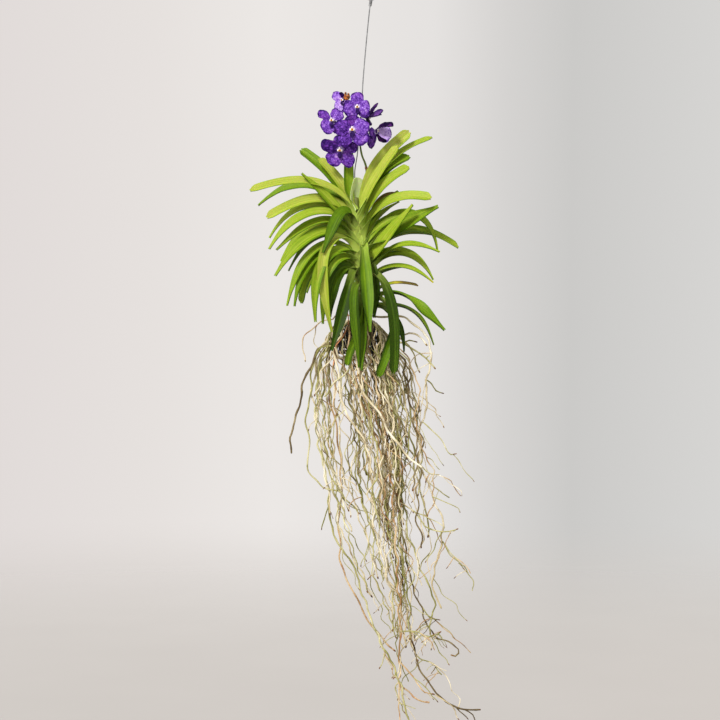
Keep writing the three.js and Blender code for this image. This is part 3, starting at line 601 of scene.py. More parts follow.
def heart_paint():
    """Waxy cream column and side lobes with a warm spot low down."""
    paint = Paint("column_wax", specular_ior_level=0.5)
    throat = paint.own("throat")
    spot = paint.place()
    cloud = paint.noise(spot, 240, 2)
    warm = (throat + (cloud - 0.5) * 0.3).step(0.26, 0.56)
    ground = paint.mix(warm, colour(244, 236, 238), colour(230, 166, 52))
    ground = paint.mix(throat.step(0.7, 1.0) * 0.8, ground, colour(134, 70, 30))
    return paint.feed(base_color=ground, roughness=0.42 + (cloud - 0.5) * 0.2)


COLUMN_WAX = heart_paint()


def lip_paint():
    """Velvet of the lip: its own dark violet, with painted shade near black in its hollows and paler violet
    where it stands proud.
    """
    paint = Paint("lip_velvet", specular_ior_level=0.25)
    cloud = paint.noise(paint.place(), 260, 3)
    # One noise sets the relief and the colour: its own dark violet, with painted shade in the hollows.
    ground = paint.ramp(cloud, shades((0.3, 28, 10, 58), (0.6, 58, 28, 106), (0.85, 126, 90, 178)))
    return paint.finish(ground, 0.6 + (cloud - 0.5) * 0.2, cloud, 0.4, 0.0008)


LIP_VELVET = lip_paint()


def stalk_paint(name, dark, pale, flush):
    """Skin of the spike and its stalks: fine ribs along it, flushed in patches."""
    paint = Paint(name, specular_ior_level=0.4)
    spot = paint.place()
    ribs = paint.noise(paint.stretched(spot, (300, 300, 22)), 1, 2)
    cloud = paint.noise(spot, 34, 2)
    ground = paint.ramp(cloud * 0.7 + ribs * 0.3, [(0.35, dark), (0.65, pale)])
    ground = paint.mix(cloud.step(0.52, 0.7) * 0.5, ground, flush)
    return paint.finish(ground, 0.48 + (cloud - 0.5) * 0.2, ribs, 0.3, 0.0005)


SPIKE_SKIN = stalk_paint("spike_skin", colour(70, 88, 28), colour(132, 152, 58), colour(70, 40, 40))
PEDICEL_SKIN = stalk_paint("pedicel_skin", colour(104, 96, 110), colour(170, 160, 170), colour(96, 60, 120))
BRACT_SKIN = stalk_paint("bract_skin", colour(98, 52, 34), colour(160, 108, 72), colour(84, 40, 30))


def dried_paint():
    """Shrivelled bud skin: orange on its ridges, brown in its creases, darkened near black there as painted
    shade.
    """
    paint = Paint("dried_bud")
    creases = paint.noise(paint.place(), 260, 4, 0.7)
    # One noise sets the relief and the colour: the bud's own orange and brown, with painted shade near black
    # in the creases.
    ground = paint.ramp(creases, shades((0.4, 44, 22, 8), (0.52, 136, 68, 8), (0.66, 236, 142, 26)))
    return paint.finish(ground, 0.6 + creases * 0.3, creases, 0.8, 0.0012)


DRIED_BUD = dried_paint()


def basket_paint():
    """Black moulded slats with grey patches that stand for painted highlight."""
    paint = Paint("basket_black", specular_ior_level=0.4)
    spot = paint.place()
    grain = paint.noise(paint.stretched(spot, (60, 60, 400)), 1, 3)
    bloom = paint.noise(spot, 42, 3)
    # Painted highlight: grey patches stand for the light that the black slats catch.
    ground = paint.mix(bloom.step(0.5, 0.75) * 0.5, colour(26, 28, 32), colour(86, 90, 92))
    return paint.finish(ground, 0.5 + bloom * 0.3, grain, 0.25, 0.0006)


BASKET_BLACK = basket_paint()


def wire_paint():
    """Zinc gone dull in patches."""
    paint = Paint("galvanised_wire", metallic=0.85)
    dull = paint.noise(paint.place(), 120, 3)
    ground = paint.ramp(dull, shades((0.3, 120, 121, 122), (0.7, 176, 177, 178)))
    return paint.feed(base_color=ground, roughness=0.38 + (dull - 0.5) * 0.3)


WIRE_METAL = wire_paint()


# ---------------------------------------------------------------- tables of leaves and roots
# side, height on the stem, length, rise at the stem, slope at the tip, how far along half the bend is
# done, sharpness of the bend, turn toward the front, roll of the face toward the front, width, how
# bright its green is painted (partly its own green, partly painted light and shade for where it
# stands), and, where they aren't the usual ones, the shape of its tip, how far age has yellowed it and
# the twist of its outer half
SHARP, BLUNT = 0, 1
Leaf = namedtuple(
    "Leaf", "side height length rise droop half crook yaw roll width tone tip age twist",
    defaults=(SHARP, 0, 0),
)
LEAVES = [
    (LEFT, -460, 130, 74, 92, 0.3, 2, -8, 60, 24, 0.36, BLUNT),
    (LEFT, -483.5, 207.7, 85, 33.6, 0.5, 1.2, -22, 60, 26, 0.26, BLUNT),
    (LEFT, -496, 172.7, 85, 42.2, 0.57, 2, -14, 60, 23, 0.68, BLUNT),
    (LEFT, -520, 181, 68, 41, 0.25, 2, 18, 74, 23, 0.44),
    (LEFT, -501, 283, 85, -21.4, 0.42, 1.7, 15, 48, 25, 0.64, BLUNT, 0.3),
    (LEFT, -512, 281, 75.7, -41.6, 0.7, 1.9, -13, 50, 31, 0.26),
    (LEFT, -522.6, 248.7, 81.7, -32.9, 0.41, 2.4, 10, 55, 26, 0.72, BLUNT),
    (LEFT, -534.7, 258.3, 75.9, -59.9, 0.61, 2, -6, 44, 26, 0.48),
    (LEFT, -534, 259, 82, -60, 0.54, 1.5, 18, 46, 25, 0.46),
    (LEFT, -545, 227.2, 72.9, -44.3, 0.37, 2.6, 16, 44, 24, 0.42),
    (LEFT, -550.6, 228, 76.4, -64.9, 0.49, 1.9, -2.4, 46, 24, 0.46),
    (LEFT, -559, 248, 79.2, -58, 0.34, 1.8, 19, 48, 27, 0.4),
    (LEFT, -568.2, 214.6, 76.3, -62.9, 0.44, 2.1, -12, 40, 26, 0.06),
    (LEFT, -579.8, 255, 69.2, -76.5, 0.34, 2.2, 17, 42, 23, 0.4, SHARP, 0.4),
    (LEFT, -588.4, 234, 73, -83, 0.4, 1.7, 19, 42, 23, 0.26),
    (LEFT, -604.4, 206.5, 80.8, -85.3, 0.45, 1.7, 8, 44, 23, 0.4, BLUNT, 0.4),
    (LEFT, -613.4, 172.6, 76, -71.2, 0.47, 2.1, -14, 45, 23, 0.4),
    (LEFT, -597, 253, 75, -95.5, 0.33, 2.5, 30, 65, 24, 0.42),
    (LEFT, -559, 283.4, 63, -106, 0.26, 2.8, 32, 64, 24, 0.7),
    (LEFT, -626.5, 183, 70.8, -90.4, 0.32, 2.9, 12.4, 65, 22, 0.3),
    (LEFT, -607, 158, 70, -87.4, 0.26, 2.8, 20, 56, 32, 0.04),
    (LEFT, -599.9, 202.4, 56, -68, 0.08, 3.1, 51, 56, 27, -0.02),
    (LEFT, -565, 120, 66, -78, 0.46, 2, 30, 60, 20, 0.4),
    (LEFT, -580, 124, 60, -80, 0.42, 2, 32, 60, 20, 0.35),
    (LEFT, -513, 170, 75.3, -64.8, 0.34, 6.7, 36, 44, 27, 0.14),
    (RIGHT, -480.3, 224, 85, 38.3, 0.56, 2.4, -9, 80, 30, 0.7, BLUNT),
    (RIGHT, -498.5, 193, 85, 52, 0.37, 4.2, 20, 60, 31, 0.6, BLUNT, 0.2),
    (RIGHT, -491, 262, 84, 17.8, 0.81, 1.7, -14, 46, 18, 0.5, BLUNT, 0.3),
    (RIGHT, -507, 208, 85, 19.7, 0.81, 2.4, -14, 48, 30, 0.3, BLUNT),
    (RIGHT, -517, 130, 77, 36, 0.45, 2, -14, 45, 23, 0.5),
    (RIGHT, -515.2, 186, 85, 24, 0.63, 2, 20, 58, 33, 0.54, BLUNT, 0.3),
    (RIGHT, -529, 158, 76, -34, 1, 4, -8, 30, 16, 0.4, SHARP, 2.4),
    (RIGHT, -532.6, 205.4, 85, -14.7, 0.67, 1.7, 20, 50, 31, 0.52, BLUNT, 0.5),
    (RIGHT, -542, 134, 78, 28, 0.7, 2, -14, 30, 20, 0.5),
    (RIGHT, -546, 128, 78, 22, 0.5, 2, -10, 30, 20, 0.55),
    (RIGHT, -559, 144, 80, 8, 0.6, 2, 10, 50, 21, 0.45),
    (RIGHT, -615.7, 200.6, 83, 48.3, 0.21, 3.4, 28, 62, 37, 0.44),
    (RIGHT, -566, 199, 75.6, 25, 0.17, 2.3, 14, 70, 40, 0.36),
    (RIGHT, -564.6, 249.7, 65.3, -81.8, 0.62, 3.8, -4, 42, 28, 0.42),
    (RIGHT, -596.6, 257.6, 71, -34, 0.51, 2.7, -9, 40, 29, 0.4, BLUNT, 0.3),
    (RIGHT, -592, 211, 71, -15, 0.5, 2.4, -12, 32, 26, 0.56),
    (RIGHT, -610, 201.5, 64, -26, 0.64, 2.1, 24.5, 32, 26, 0.46, SHARP, 0.4),
    (RIGHT, -589, 188.6, 64, -67, 0.66, 1.7, -4.8, 36, 22, 0.44),
    (RIGHT, -603.4, 184, 60, -63.6, 0.64, 2.1, 5.8, 32, 24, 0.44),
    (RIGHT, -628, 172.7, 72, -41, 0.52, 1.7, 10, 26, 23, 0.5, SHARP, 0.7),
    (RIGHT, -626, 100, 70, 2, 0.5, 2, -12, 40, 20, 0.3),
    (RIGHT, -646, 118.4, 48, -15, 0.55, 2.2, -4.4, 20, 16, 0.45, BLUNT, 2.2),
    (RIGHT, -648.6, 210.7, 30, -114.5, 0.27, 1.2, 27.6, 0, 22, 0.1, BLUNT, 0, 60),
    (RIGHT, -606.7, 250.7, 54.5, -96.3, 0.14, 1.2, 40, 55, 24, -0.05, BLUNT),
    (RIGHT, -648, 192, 21, -45.5, 0.34, 3.6, 8.8, 8, 27, 0.24, SHARP, 0, 60),
    (RIGHT, -663.7, 183, 9, -72, 0.57, 2.9, -8.5, 14, 24, 0.34, SHARP, 0, 15),
    (RIGHT, -663, 141, 8.5, -88.7, 0.48, 1.6, 16.4, 50, 15, -0.04),
    (RIGHT, -552.6, 212, 66, -70, 0.08, 4.1, 78.5, 4, 29, 0.16),
    (LEFT, -639, 234, 50, -96, 0.22, 2.6, 74.5, 4, 22, 0.1),
    (RIGHT, -642.7, 186, 30, -74.5, 0.09, 2.85, 93, 12, 25, 0.1),
    (LEFT, -462, 74, 84, 108, 0.5, 2, -50, 0, 34, 1.5, BLUNT),
    (RIGHT, -572.4, 133.8, 56.7, -91.9, 0.08, 1.7, 40, 40, 24, -0.05),
    (LEFT, -655, 164, 6, -90, 0.18, 2.4, 90, 24, 19, 0.22, BLUNT),
]
# how far in mm the outer half of a few leaves leans to one side
LEANING_OUT = {47: 28, 48: -2, 53: 12, 57: -34}

# Each named root: the height it leaves the crown at, or the root and point that it branches from; its
# radius at the base; its depth at the first and last point, or how much deeper a branch ends; then x
# and z down its length.
ROOTS = {
    "left_brown": (-684, 2.6, (-6, -26), [
        (-82, -731), (-107, -750), (-130, -788), (-141, -825), (-149, -857), (-162, -916), (-170, -934),
        (-166, -968),
    ]),
    "far_left_thin": (-678, 1.5, (12, 20), [
        (-55, -680), (-80, -687), (-107, -691), (-124, -710), (-143, -727), (-145, -752), (-139, -777),
    ]),
    "young_front": (-682, 1.4, (-30, -36), [
        (-45, -664), (-47, -680), (-50, -700), (-58, -722), (-74, -748), (-80, -790),
    ]),
    "far_left_twig": (("far_left_thin", 2), 1.2, 24, [(-118, -704), (-118, -731), (-107, -756)]),
    "left_arch": (-690, 2.0, (-12, -8), [
        (-78, -739), (-103, -746), (-120, -773), (-126, -804), (-124, -836), (-132, -867), (-136, -895),
        (-132, -930), (-128, -956), (-134, -987), (-126, -1014), (-97, -1040), (-65, -1050),
        (-44, -1073), (-23, -1096),
    ]),
    "left_cream": (-688, 2.6, (-36, -44), [
        (-65, -722), (-80, -756), (-71, -783), (-65, -825), (-59, -867), (-44, -895), (-23, -926),
        (-6, -962), (2, -1008),
    ]),
    "front_white": (-694, 2.7, (-40, -58), [
        (-29, -752), (-27, -804), (-15, -840), (15, -882), (40, -924), (61, -956), (82, -976),
        (105, -995),
    ]),
    "left_long": (-686, 2.4, (6, -20), [
        (-86, -735), (-111, -785), (-113, -836), (-116, -888), (-111, -941), (-103, -983), (-92, -1025),
        (-88, -1077), (-86, -1109), (-76, -1140), (-61, -1172), (-40, -1195), (-29, -1228),
        (-17, -1266), (-2, -1308), (19, -1361), (44, -1407), (59, -1443), (69, -1487), (80, -1537),
    ]),
    "left_long_hook": (("left_long", 7), 1.5, 4, [(-99, -1107), (-103, -1130)]),
    "left_second": (-692, 2.2, (16, 6), [
        (-80, -741), (-94, -790), (-86, -857), (-74, -909), (-67, -962), (-63, -1014), (-63, -1067),
        (-69, -1130), (-63, -1170), (-65, -1195), (-55, -1228), (-44, -1247), (-29, -1275),
        (-19, -1300), (-2, -1325), (19, -1354), (52, -1386),
    ]),
    "left_twig_low": (("left_second", 14), 1.4, -6, [(27, -1378), (25, -1403), (17, -1422)]),
    "right_pale": (-676, 2.4, (24, 8), [
        (19, -682), (61, -680), (82, -689), (107, -712), (126, -741), (130, -758), (124, -779),
        (118, -815), (118, -857), (109, -903), (101, -951), (105, -995), (118, -1029), (134, -1067),
        (149, -1109), (151, -1155), (139, -1186), (134, -1224), (130, -1256), (139, -1279),
        (149, -1296),
    ]),
    "right_pale_a": (("right_pale", 7), 1.5, 16, [(128, -823), (139, -838), (155, -844)]),
    "right_pale_b": (("right_pale", 9), 1.5, -8, [(139, -930), (155, -956), (170, -972), (181, -970)]),
    "right_pale_c": (("right_pale", 11), 1.4, -10, [(124, -1012), (143, -1014)]),
    "right_pale_d": (("right_pale", 12), 1.5, 20, [(141, -1046), (166, -1065)]),
    "right_pale_e": (("right_pale", 15), 1.4, -12, [(166, -1178), (183, -1193)]),
    "right_pale_f": (("right_pale", 15), 1.4, 14, [(170, -1186), (191, -1208), (206, -1224)]),
    "right_fringe_a": (("right_pale", 6), 1.1, -18, [(92, -800), (84, -836), (96, -872), (104, -912)]),
    "right_fringe_b": (("right_pale", 7), 1.0, -14, [(108, -850), (106, -886), (101, -930), (106, -960)]),
    "right_fringe_c": (("right_pale", 5), 1.1, 10, [
        (98, -762), (76, -790), (70, -822), (88, -858), (100, -884),
    ]),
    "right_upper": (-688, 2.2, (34, 22), [(32, -718), (61, -727), (82, -716), (103, -724), (120, -743)]),
    "right_forked": (-694, 2.2, (8, 14), [(29, -731), (69, -737), (94, -754), (116, -769), (136, -792)]),
    "right_fork_tip": (("right_forked", 3), 1.3, 6, [(124, -762)]),
    "right_stub": (-690, 1.8, (44, 40), [(29, -727), (63, -737), (80, -731), (99, -735)]),
    "right_drop": (-686, 2.0, (30, 34), [(27, -718), (65, -729), (82, -743), (90, -766), (105, -800)]),
    "right_short": (-696, 1.9, (10, 12), [(25, -743), (36, -798), (55, -819), (67, -836), (90, -855)]),
    "right_second": (-692, 2.1, (20, 26), [
        (27, -735), (59, -777), (76, -825), (82, -878), (84, -930), (92, -983), (99, -1035),
        (113, -1077), (120, -1109), (120, -1149),
    ]),
    "right_green": (-698, 2.2, (2, 10), [
        (19, -756), (44, -836), (61, -920), (65, -1004), (69, -1077), (82, -1151), (99, -1197),
        (120, -1245), (134, -1281), (134, -1296), (126, -1321), (124, -1352),
    ]),
    "right_reach": (("right_green", 4), 1.7, -14, [
        (92, -1092), (113, -1121), (141, -1132), (166, -1132), (183, -1126),
    ]),
    "lower_long": (-697, 2.3, (-34, -6), [
        (-6, -752), (10, -825), (27, -909), (40, -993), (46, -1077), (52, -1161), (57, -1256),
        (61, -1340), (59, -1403), (61, -1447), (82, -1472), (103, -1487), (124, -1491),
    ]),
    "lower_left_tip": (("lower_long", 9), 1.5, 6, [(50, -1457), (55, -1487)]),
    "lower_loop": (("left_long", 17), 1.5, -6, [(59, -1489), (59, -1512), (61, -1537)]),
    "lower_dark": (-699, 2.3, (40, 14), [
        (15, -756), (36, -857), (48, -962), (57, -1067), (63, -1161), (69, -1256), (84, -1348),
        (94, -1394), (103, -1426), (124, -1457), (145, -1483), (166, -1499), (197, -1510), (235, -1510),
    ]),
    "lower_dark_a": (("lower_dark", 11), 1.5, 6, [(178, -1504), (187, -1516), (206, -1533)]),
    "lower_dark_b": (("lower_dark", 12), 1.4, -6, [(214, -1520), (220, -1533)]),
    "lower_mid": (("lower_long", 8), 1.7, -10, [(82, -1428), (99, -1451), (113, -1466), (132, -1470)]),
    "hooked": (-700, 2.1, (48, 22), [
        (10, -764), (32, -878), (48, -983), (61, -1088), (74, -1182), (86, -1245), (103, -1289),
        (113, -1321), (130, -1348), (141, -1363), (166, -1369), (185, -1384), (178, -1399),
        (168, -1396),
    ]),
    "lower_side": (("lower_long", 7), 1.6, 12, [
        (80, -1340), (101, -1342), (109, -1352), (134, -1350), (147, -1342),
    ]),
    "lower_spur": (("lower_dark", 7), 1.5, 12, [(105, -1405), (124, -1413), (141, -1428), (151, -1441)]),
    "mid_spur": (("hooked", 6), 1.5, -10, [(124, -1317), (147, -1323)]),
}


# ---------------------------------------------------------------- leaves and stem
STEM_AXIS = [(-31, -432), (-27, -489), (-23, -531), (-19, -584), (-16, -630), (-15, -668)]
STEM_RADII = (4.6, 7.1)
JOINT_SWELL = 0.5
JOINT_TURNS = 84  # radians of swelling and narrowing from top to foot
LEAF_START = 9
LEAF_STEPS = 44
LEAF_LANES = 8
SPINE_STEPS = 60
LEAF_THICKNESS = 0.0016
LEAF_WAVER = 0.0035
MARGIN_SHARE = 0.35  # thickness of the margins, as a share of the keel's
KEEL_ROUND = 0.05
BASE_FOLD, BLADE_FOLD = 60, 23  # degrees that each half folds up by, at the base and further out
NOTCH, SHOULDER = 0.016, 0.014  # how far the middle and the corners of the end are drawn back


def stem_x(height):
    return along([(z, x) for x, z in STEM_AXIS], height)


def leaf_width(t, tip):
    """Share of a leaf's full width: clasping at the base, widest past the middle, narrowing to the tip."""
    clasp = lerp(1.45, 0.86, ease(t / 0.2))
    blade = lerp(clasp, 1, ease((t - 0.1) / 0.4))
    if tip == BLUNT:
        return blade * lerp(1, 0.84, ease((t - 0.55) / 0.4)) * lerp(1, 0.45, ease((t - 0.93) / 0.07) ** 2)
    return blade * lerp(1, 0.2, ease((t - 0.6) / 0.42))


def leaf_fold(t):
    return math.radians(lerp(BASE_FOLD, BLADE_FOLD, ease((t - 0.04) / 0.4)))


def draw_back_end(blank, test, share):
    """Draws the lanes that pass a test back from a blade's end, by a share of its length."""
    select_where(blank, lambda co: co.x > 1 - IN_ROW / LEAF_STEPS and test(abs(co.y)))
    bpy.ops.transform.translate(value=(-share, 0, 0))
    object_mode()


def leaf_section(t, tip):
    """A blade's width and the height of its V, as shares of its full width."""
    width, fold = leaf_width(t, tip), leaf_fold(t)
    return width * math.cos(fold), width * math.sin(fold)


def leaf_blank(tip):
    """A strap leaf laid out flat: folded into a V at its base, opening along the blade."""
    blank = grid("leaf_blank", LEAF_STEPS, LEAF_LANES)
    raise_lanes(blank, LEAF_LANES, lambda y: math.hypot(y, KEEL_ROUND) - KEEL_ROUND)
    shape_rows(blank, LEAF_STEPS, lambda t: leaf_section(t, tip))
    draw_back_end(blank, lambda off: off < 0.02, NOTCH)
    draw_back_end(blank, lambda off: off > 0.15, SHOULDER)
    group = blank.vertex_groups.new(name="body")
    for vertex in blank.data.vertices:
        group.add([vertex.index], max(0.0, 1 - abs(vertex.co.y) / 0.5), "REPLACE")
    return blank


def leaf_line(shape, lean):
    """Points along a leaf's keel, and how far the blade has rolled about it at each."""
    point = Vector((0, 0, 0))
    points, tilts = [], []
    half = shape.half**shape.crook
    for step in range(SPINE_STEPS + 1):
        t = step / SPINE_STEPS
        points.append(point.copy())
        roll = shape.roll * ease(t / 0.35) + shape.twist * ease((t - 0.4) / 0.35)
        tilts.append(shape.side * math.radians(roll))
        bow = t**shape.crook / (t**shape.crook + half) * (1 + half)
        point += climb(shape.rise + (shape.droop - shape.rise) * bow, shape.length * MM / SPINE_STEPS)
        point.y = -shape.side * lean * MM * ease((t - 0.25) / 0.7)
    return points, tilts


def leaf(blanks, shape, number, draw):
    strap = cut_from(blanks[shape.tip], f"leaf_{number}", shape.length, shape.width)
    bend_along(strap, *leaf_line(shape, LEANING_OUT.get(number, 0)))
    azimuth = math.radians(-shape.yaw if shape.side == RIGHT else 180 + shape.yaw)
    turn = Matrix.Rotation(azimuth, 4, "Z")
    joint = Vector((stem_x(shape.height) * MM, 0, shape.height * MM))
    place(strap, Matrix.Translation(joint + turn @ Vector((LEAF_START * MM, 0, 0))) @ turn)
    displace(strap, WAVER, LEAF_WAVER)
    apply_modifier(
        strap, "SOLIDIFY", thickness=LEAF_THICKNESS, offset=-1, vertex_group="body",
        thickness_vertex_group=MARGIN_SHARE, material_offset=1, material_offset_rim=1,
    )
    # A leaf's tone is partly its own green and partly painted light and shade for where it stands.
    note(strap, "tone", shape.tone + draw(-0.04, 0.04))
    note(strap, "age", shape.age)
    # The leaf's side of the stem, which picks the half of the blade that is painted in shade.
    note(strap, "side", shape.side)
    return smooth(strap, 55)


def soft_texture(name, size):
    texture = bpy.data.textures.new(name, "CLOUDS")
    texture.noise_scale = size
    texture.cloud_type = "COLOR"
    return texture


def leaves():
    blanks = [dress(leaf_blank(tip), LEAF_FACE, LEAF_UNDERSIDE) for tip in (SHARP, BLUNT)]
    draw = spread(seeded(11))
    straps = [leaf(blanks, Leaf(*row), number, draw) for number, row in enumerate(LEAVES)]
    for blank in blanks:
        remove(blank)
    return join(straps, "leaves")


def stem():
    """The stem with the slight swelling of every joint."""
    axis = smooth_path([Vector((x, 0, z)) * MM for x, z in STEM_AXIS], 0.004)
    radii = radii_along(axis, lambda s: lerp(*STEM_RADII, s) + JOINT_SWELL * math.sin(s * JOINT_TURNS))
    return rods("stem", [(axis, radii, 0)], [STEM_SKIN], 4)


# ---------------------------------------------------------------- roots
CROWN = {"x": -15, "y": 3, "top": -668.4, "radius": 12, "height": 75}
BASKET_CENTRE = (-29, 12)
BASKET_WIDTH = 80
BASKET_RIM = -706
BAR = 9
BAR_LEVELS = 6
BASKET_FLOOR = BASKET_RIM - BAR_LEVELS * BAR
ROOT_CLEAR = 2.5
RIM_CLEAR = 1.2
HOOK_X = -22
FLOOR_BAR_GAP = 18
HOOK_BAR = BASKET_CENTRE[1] + FLOOR_BAR_GAP
WIRE_RADIUS = 1.25
HOOK_REACH = BAR / 2 + 0.6 + WIRE_RADIUS
WIRE_BEARING = math.atan2(HOOK_BAR - HOOK_REACH - CROWN["y"], HOOK_X - CROWN["x"])
WIRE_BERTH = math.radians(15)
ROOT_TIP = 0.72  # how thick a root still is at its tip, as a share of its base
CURVE_TURN = 6.3  # radians, a little over a full turn
GOLDEN_ANGLE, GOLDEN_SHARE = 2.4, 0.618  # keep neighbours in a fall well apart
FALL_STEP = 72
FRONT_ARC = (-2.9, -0.2)  # bearings on the front side, in radians
STRAND_STEP = 0.008
WANDER_START = 0.06  # metres that a root runs before it wanders fully
WANDER, KNOB = 0.05, 0.07
TIPPED = 0.7  # share of roots with a tip of another colour
EDGE_CLEAR = 0.0035  # metres between a root's middle and the edge of the plant's space
BRANCH_TOP, LOW_BRANCH_TOP, BRANCH_FLOOR = -790, -1180, -1530
BRANCH_LENGTHS, BRANCH_RADII = (18, 95), (0.65, 1.25)
BRANCH_STEP = 14
BRANCH_CLEAR = 4
LEFT_BERTH = 14
COIL_START, COIL_REACH = 30, 31
COIL_STEP, COIL_BACK = 11, 7
COIL_BOTTOM, COIL_TOP = -752, -696

# Falls of roots: a height, then the middle, half width and half depth that they spread over there.
MIDDLE_FALL = [
    (-772, -6, 57, 46), (-860, 8, 58, 48), (-960, 22, 52, 44), (-1070, 26, 42, 38),
    (-1170, 40, 34, 32), (-1250, 57, 28, 26), (-1330, 66, 22, 20), (-1420, 74, 14, 14),
]
LEFT_FALL = [
    (-772, -98, 23, 30), (-860, -98, 24, 32), (-960, -92, 24, 32), (-1070, -68, 26, 28),
    (-1170, -34, 28, 24), (-1250, -8, 24, 20), (-1350, 26, 14, 16),
]
BASKET_VEIL = [(-742, -22, 52, 50), (-790, -14, 62, 50), (-900, 2, 66, 48)]
RIGHT_FALL = [
    (-772, 62, 25, 33), (-860, 84, 24, 30), (-960, 88, 24, 28), (-1070, 92, 26, 26),
    (-1170, 92, 24, 22), (-1250, 98, 22, 20), (-1350, 112, 14, 16),
]
# Curtains of roots: how many, their fall, the heights they end between, their radii, how far they sway,
# the arc of bearings that they keep to, and how far they cross.
THICK_ROOTS = [
    (20, MIDDLE_FALL, (-1000, -1400), (1.9, 2.4)),
    (6, LEFT_FALL, (-980, -1300), (1.9, 2.4)),
    (5, RIGHT_FALL, (-960, -1330), (1.9, 2.4)),
]
FINE_ROOTS = [
    (20, MIDDLE_FALL, (-900, -1400), (1.0, 1.8), (6, 26), None, 1.0),
    (7, MIDDLE_FALL, (-1330, -1490), (1.3, 2.0), (6, 26), None, 1.0),
    (8, LEFT_FALL, (-880, -1300), (1.0, 1.7), (6, 18), None, 0.9),
    (7, RIGHT_FALL, (-860, -1330), (1.0, 1.7), (6, 18), None, 0.9),
]
FRONT_ROOTS = [
    (18, MIDDLE_FALL, (-800, -1150), (1.4, 2.3), (3, 16), FRONT_ARC, 0.9),
    (22, BASKET_VEIL, (-790, -900), (1.1, 1.9), (4, 12), FRONT_ARC, 1.3),
]


def outside_basket(p, radius):
    """A point moved straight out from the basket's middle until a root there clears its walls."""
    cx, cy = BASKET_CENTRE
    clear = BASKET_WIDTH / 2 + radius + ROOT_CLEAR
    far = max(abs(p.x - cx), abs(p.y - cy))
    if far >= clear:
        return p.copy()
    out = clear / max(far, 1)
    return Vector((cx + (p.x - cx) * out, cy + (p.y - cy) * out, p.z))


def over_rim(target, radius):
    """Where a root from the crown passes over the rim, to one side of the wire."""
    bearing = math.atan2(target.y - CROWN["y"], target.x - CROWN["x"])
    off = bearing - WIRE_BEARING
    if abs(off) < WIRE_BERTH:
        bearing = WIRE_BEARING + WIRE_BERTH * (-1 if off < 0 else 1)
    cx, cy = BASKET_CENTRE
    clear = BASKET_WIDTH / 2 + radius + ROOT_CLEAR
    dx, dy = math.cos(bearing), math.sin(bearing)
    t = min(
        (cx + math.copysign(clear, dx) - CROWN["x"]) / dx,
        (cy + math.copysign(clear, dy) - CROWN["y"]) / dy,
    )
    return Vector((CROWN["x"] + dx * t, CROWN["y"] + dy * t, BASKET_RIM + radius + RIM_CLEAR))


def from_crown(height, radius, points):
    """A root leaves the crown, passes over the rim, and falls outside the basket."""
    path = [Vector((CROWN["x"], CROWN["y"], height))]
    if points[0].z < BASKET_RIM:
        path.append(over_rim(outside_basket(points[0], radius), radius))
    below = BASKET_FLOOR - radius - ROOT_CLEAR
    for p in points:
        before = path[-1]
        if p.z > below:
            path.append(outside_basket(p, radius))
            continue
        if before.z > below:
            t = (before.z - below) / (before.z - p.z)
            path.append(outside_basket(before.lerp(p, t), radius))
        path.append(p)
    return path


def named_roots():
    """The points and radius of each named root, branches starting on the roots that bear them."""
    made = {}
    for name, (start, radius, depth, path) in ROOTS.items():
        last = len(path) - 1
        if isinstance(start, tuple):
            base = made[start[0]][0][start[1]]
            points = [Vector((x, base.y + depth * (i + 1) / len(path), z)) for i, (x, z) in enumerate(path)]
            made[name] = (points, [base, *points], radius)
        else:
            points = [Vector((x, lerp(*depth, i / last), z)) for i, (x, z) in enumerate(path)]
            made[name] = (points, from_crown(start, radius, points), radius)
    return {name: (path, radius) for name, (_, path, radius) in made.items()}


def curtain(random, count, fall, ends, radii, sway=(3, 8), arc=None, cross=0.35):
    """Roots that fall together. An arc of bearings keeps them to one side of the basket."""
    draw = spread(random)
    made = []
    for n in range(count):
        angle = GOLDEN_ANGLE * n + draw(-0.3, 0.3)
        if arc:
            angle = lerp(*arc, (n * GOLDEN_SHARE) % 1)
        reach = 1 if arc else math.sqrt((n + 0.5) / count)
        side, depth = reach * math.cos(angle), reach * math.sin(angle)
        drift = draw(-cross, cross)
        swing, wave, phase = draw(*sway), draw(170, 330), draw(0, 2 * math.pi)
        radius, bottom = draw(*radii), draw(*ends)
        height = draw(-682, -700)
        steps = max(2, round((fall[0][0] - bottom) / FALL_STEP))
        points = []
        for i in range(steps + 1):
            t = i / steps
            z = lerp(fall[0][0], bottom, t)
            swung = swing * math.sin(phase + 2 * math.pi * z / wave) * min(1, 3 * t)
            x = along(fall, z, 1) + along(fall, z, 2) * (side + drift * t) + swung
            y = BASKET_CENTRE[1] * (1 - t) + along(fall, z, 3) * depth + swung * 0.6
            points.append(Vector((x, y, z)))
        made.append((from_crown(height, radius, points), radius))
    return made


def curtains(random, rows):
    return [root for row in rows for root in curtain(random, *row)]


def kept_in(p):
    """A root's point, held back from the edge of the plant's own space."""
    for k in range(3):
        p[k] = held(p[k], cad_box[0][k] + EDGE_CLEAR, cad_box[1][k] - EDGE_CLEAR)


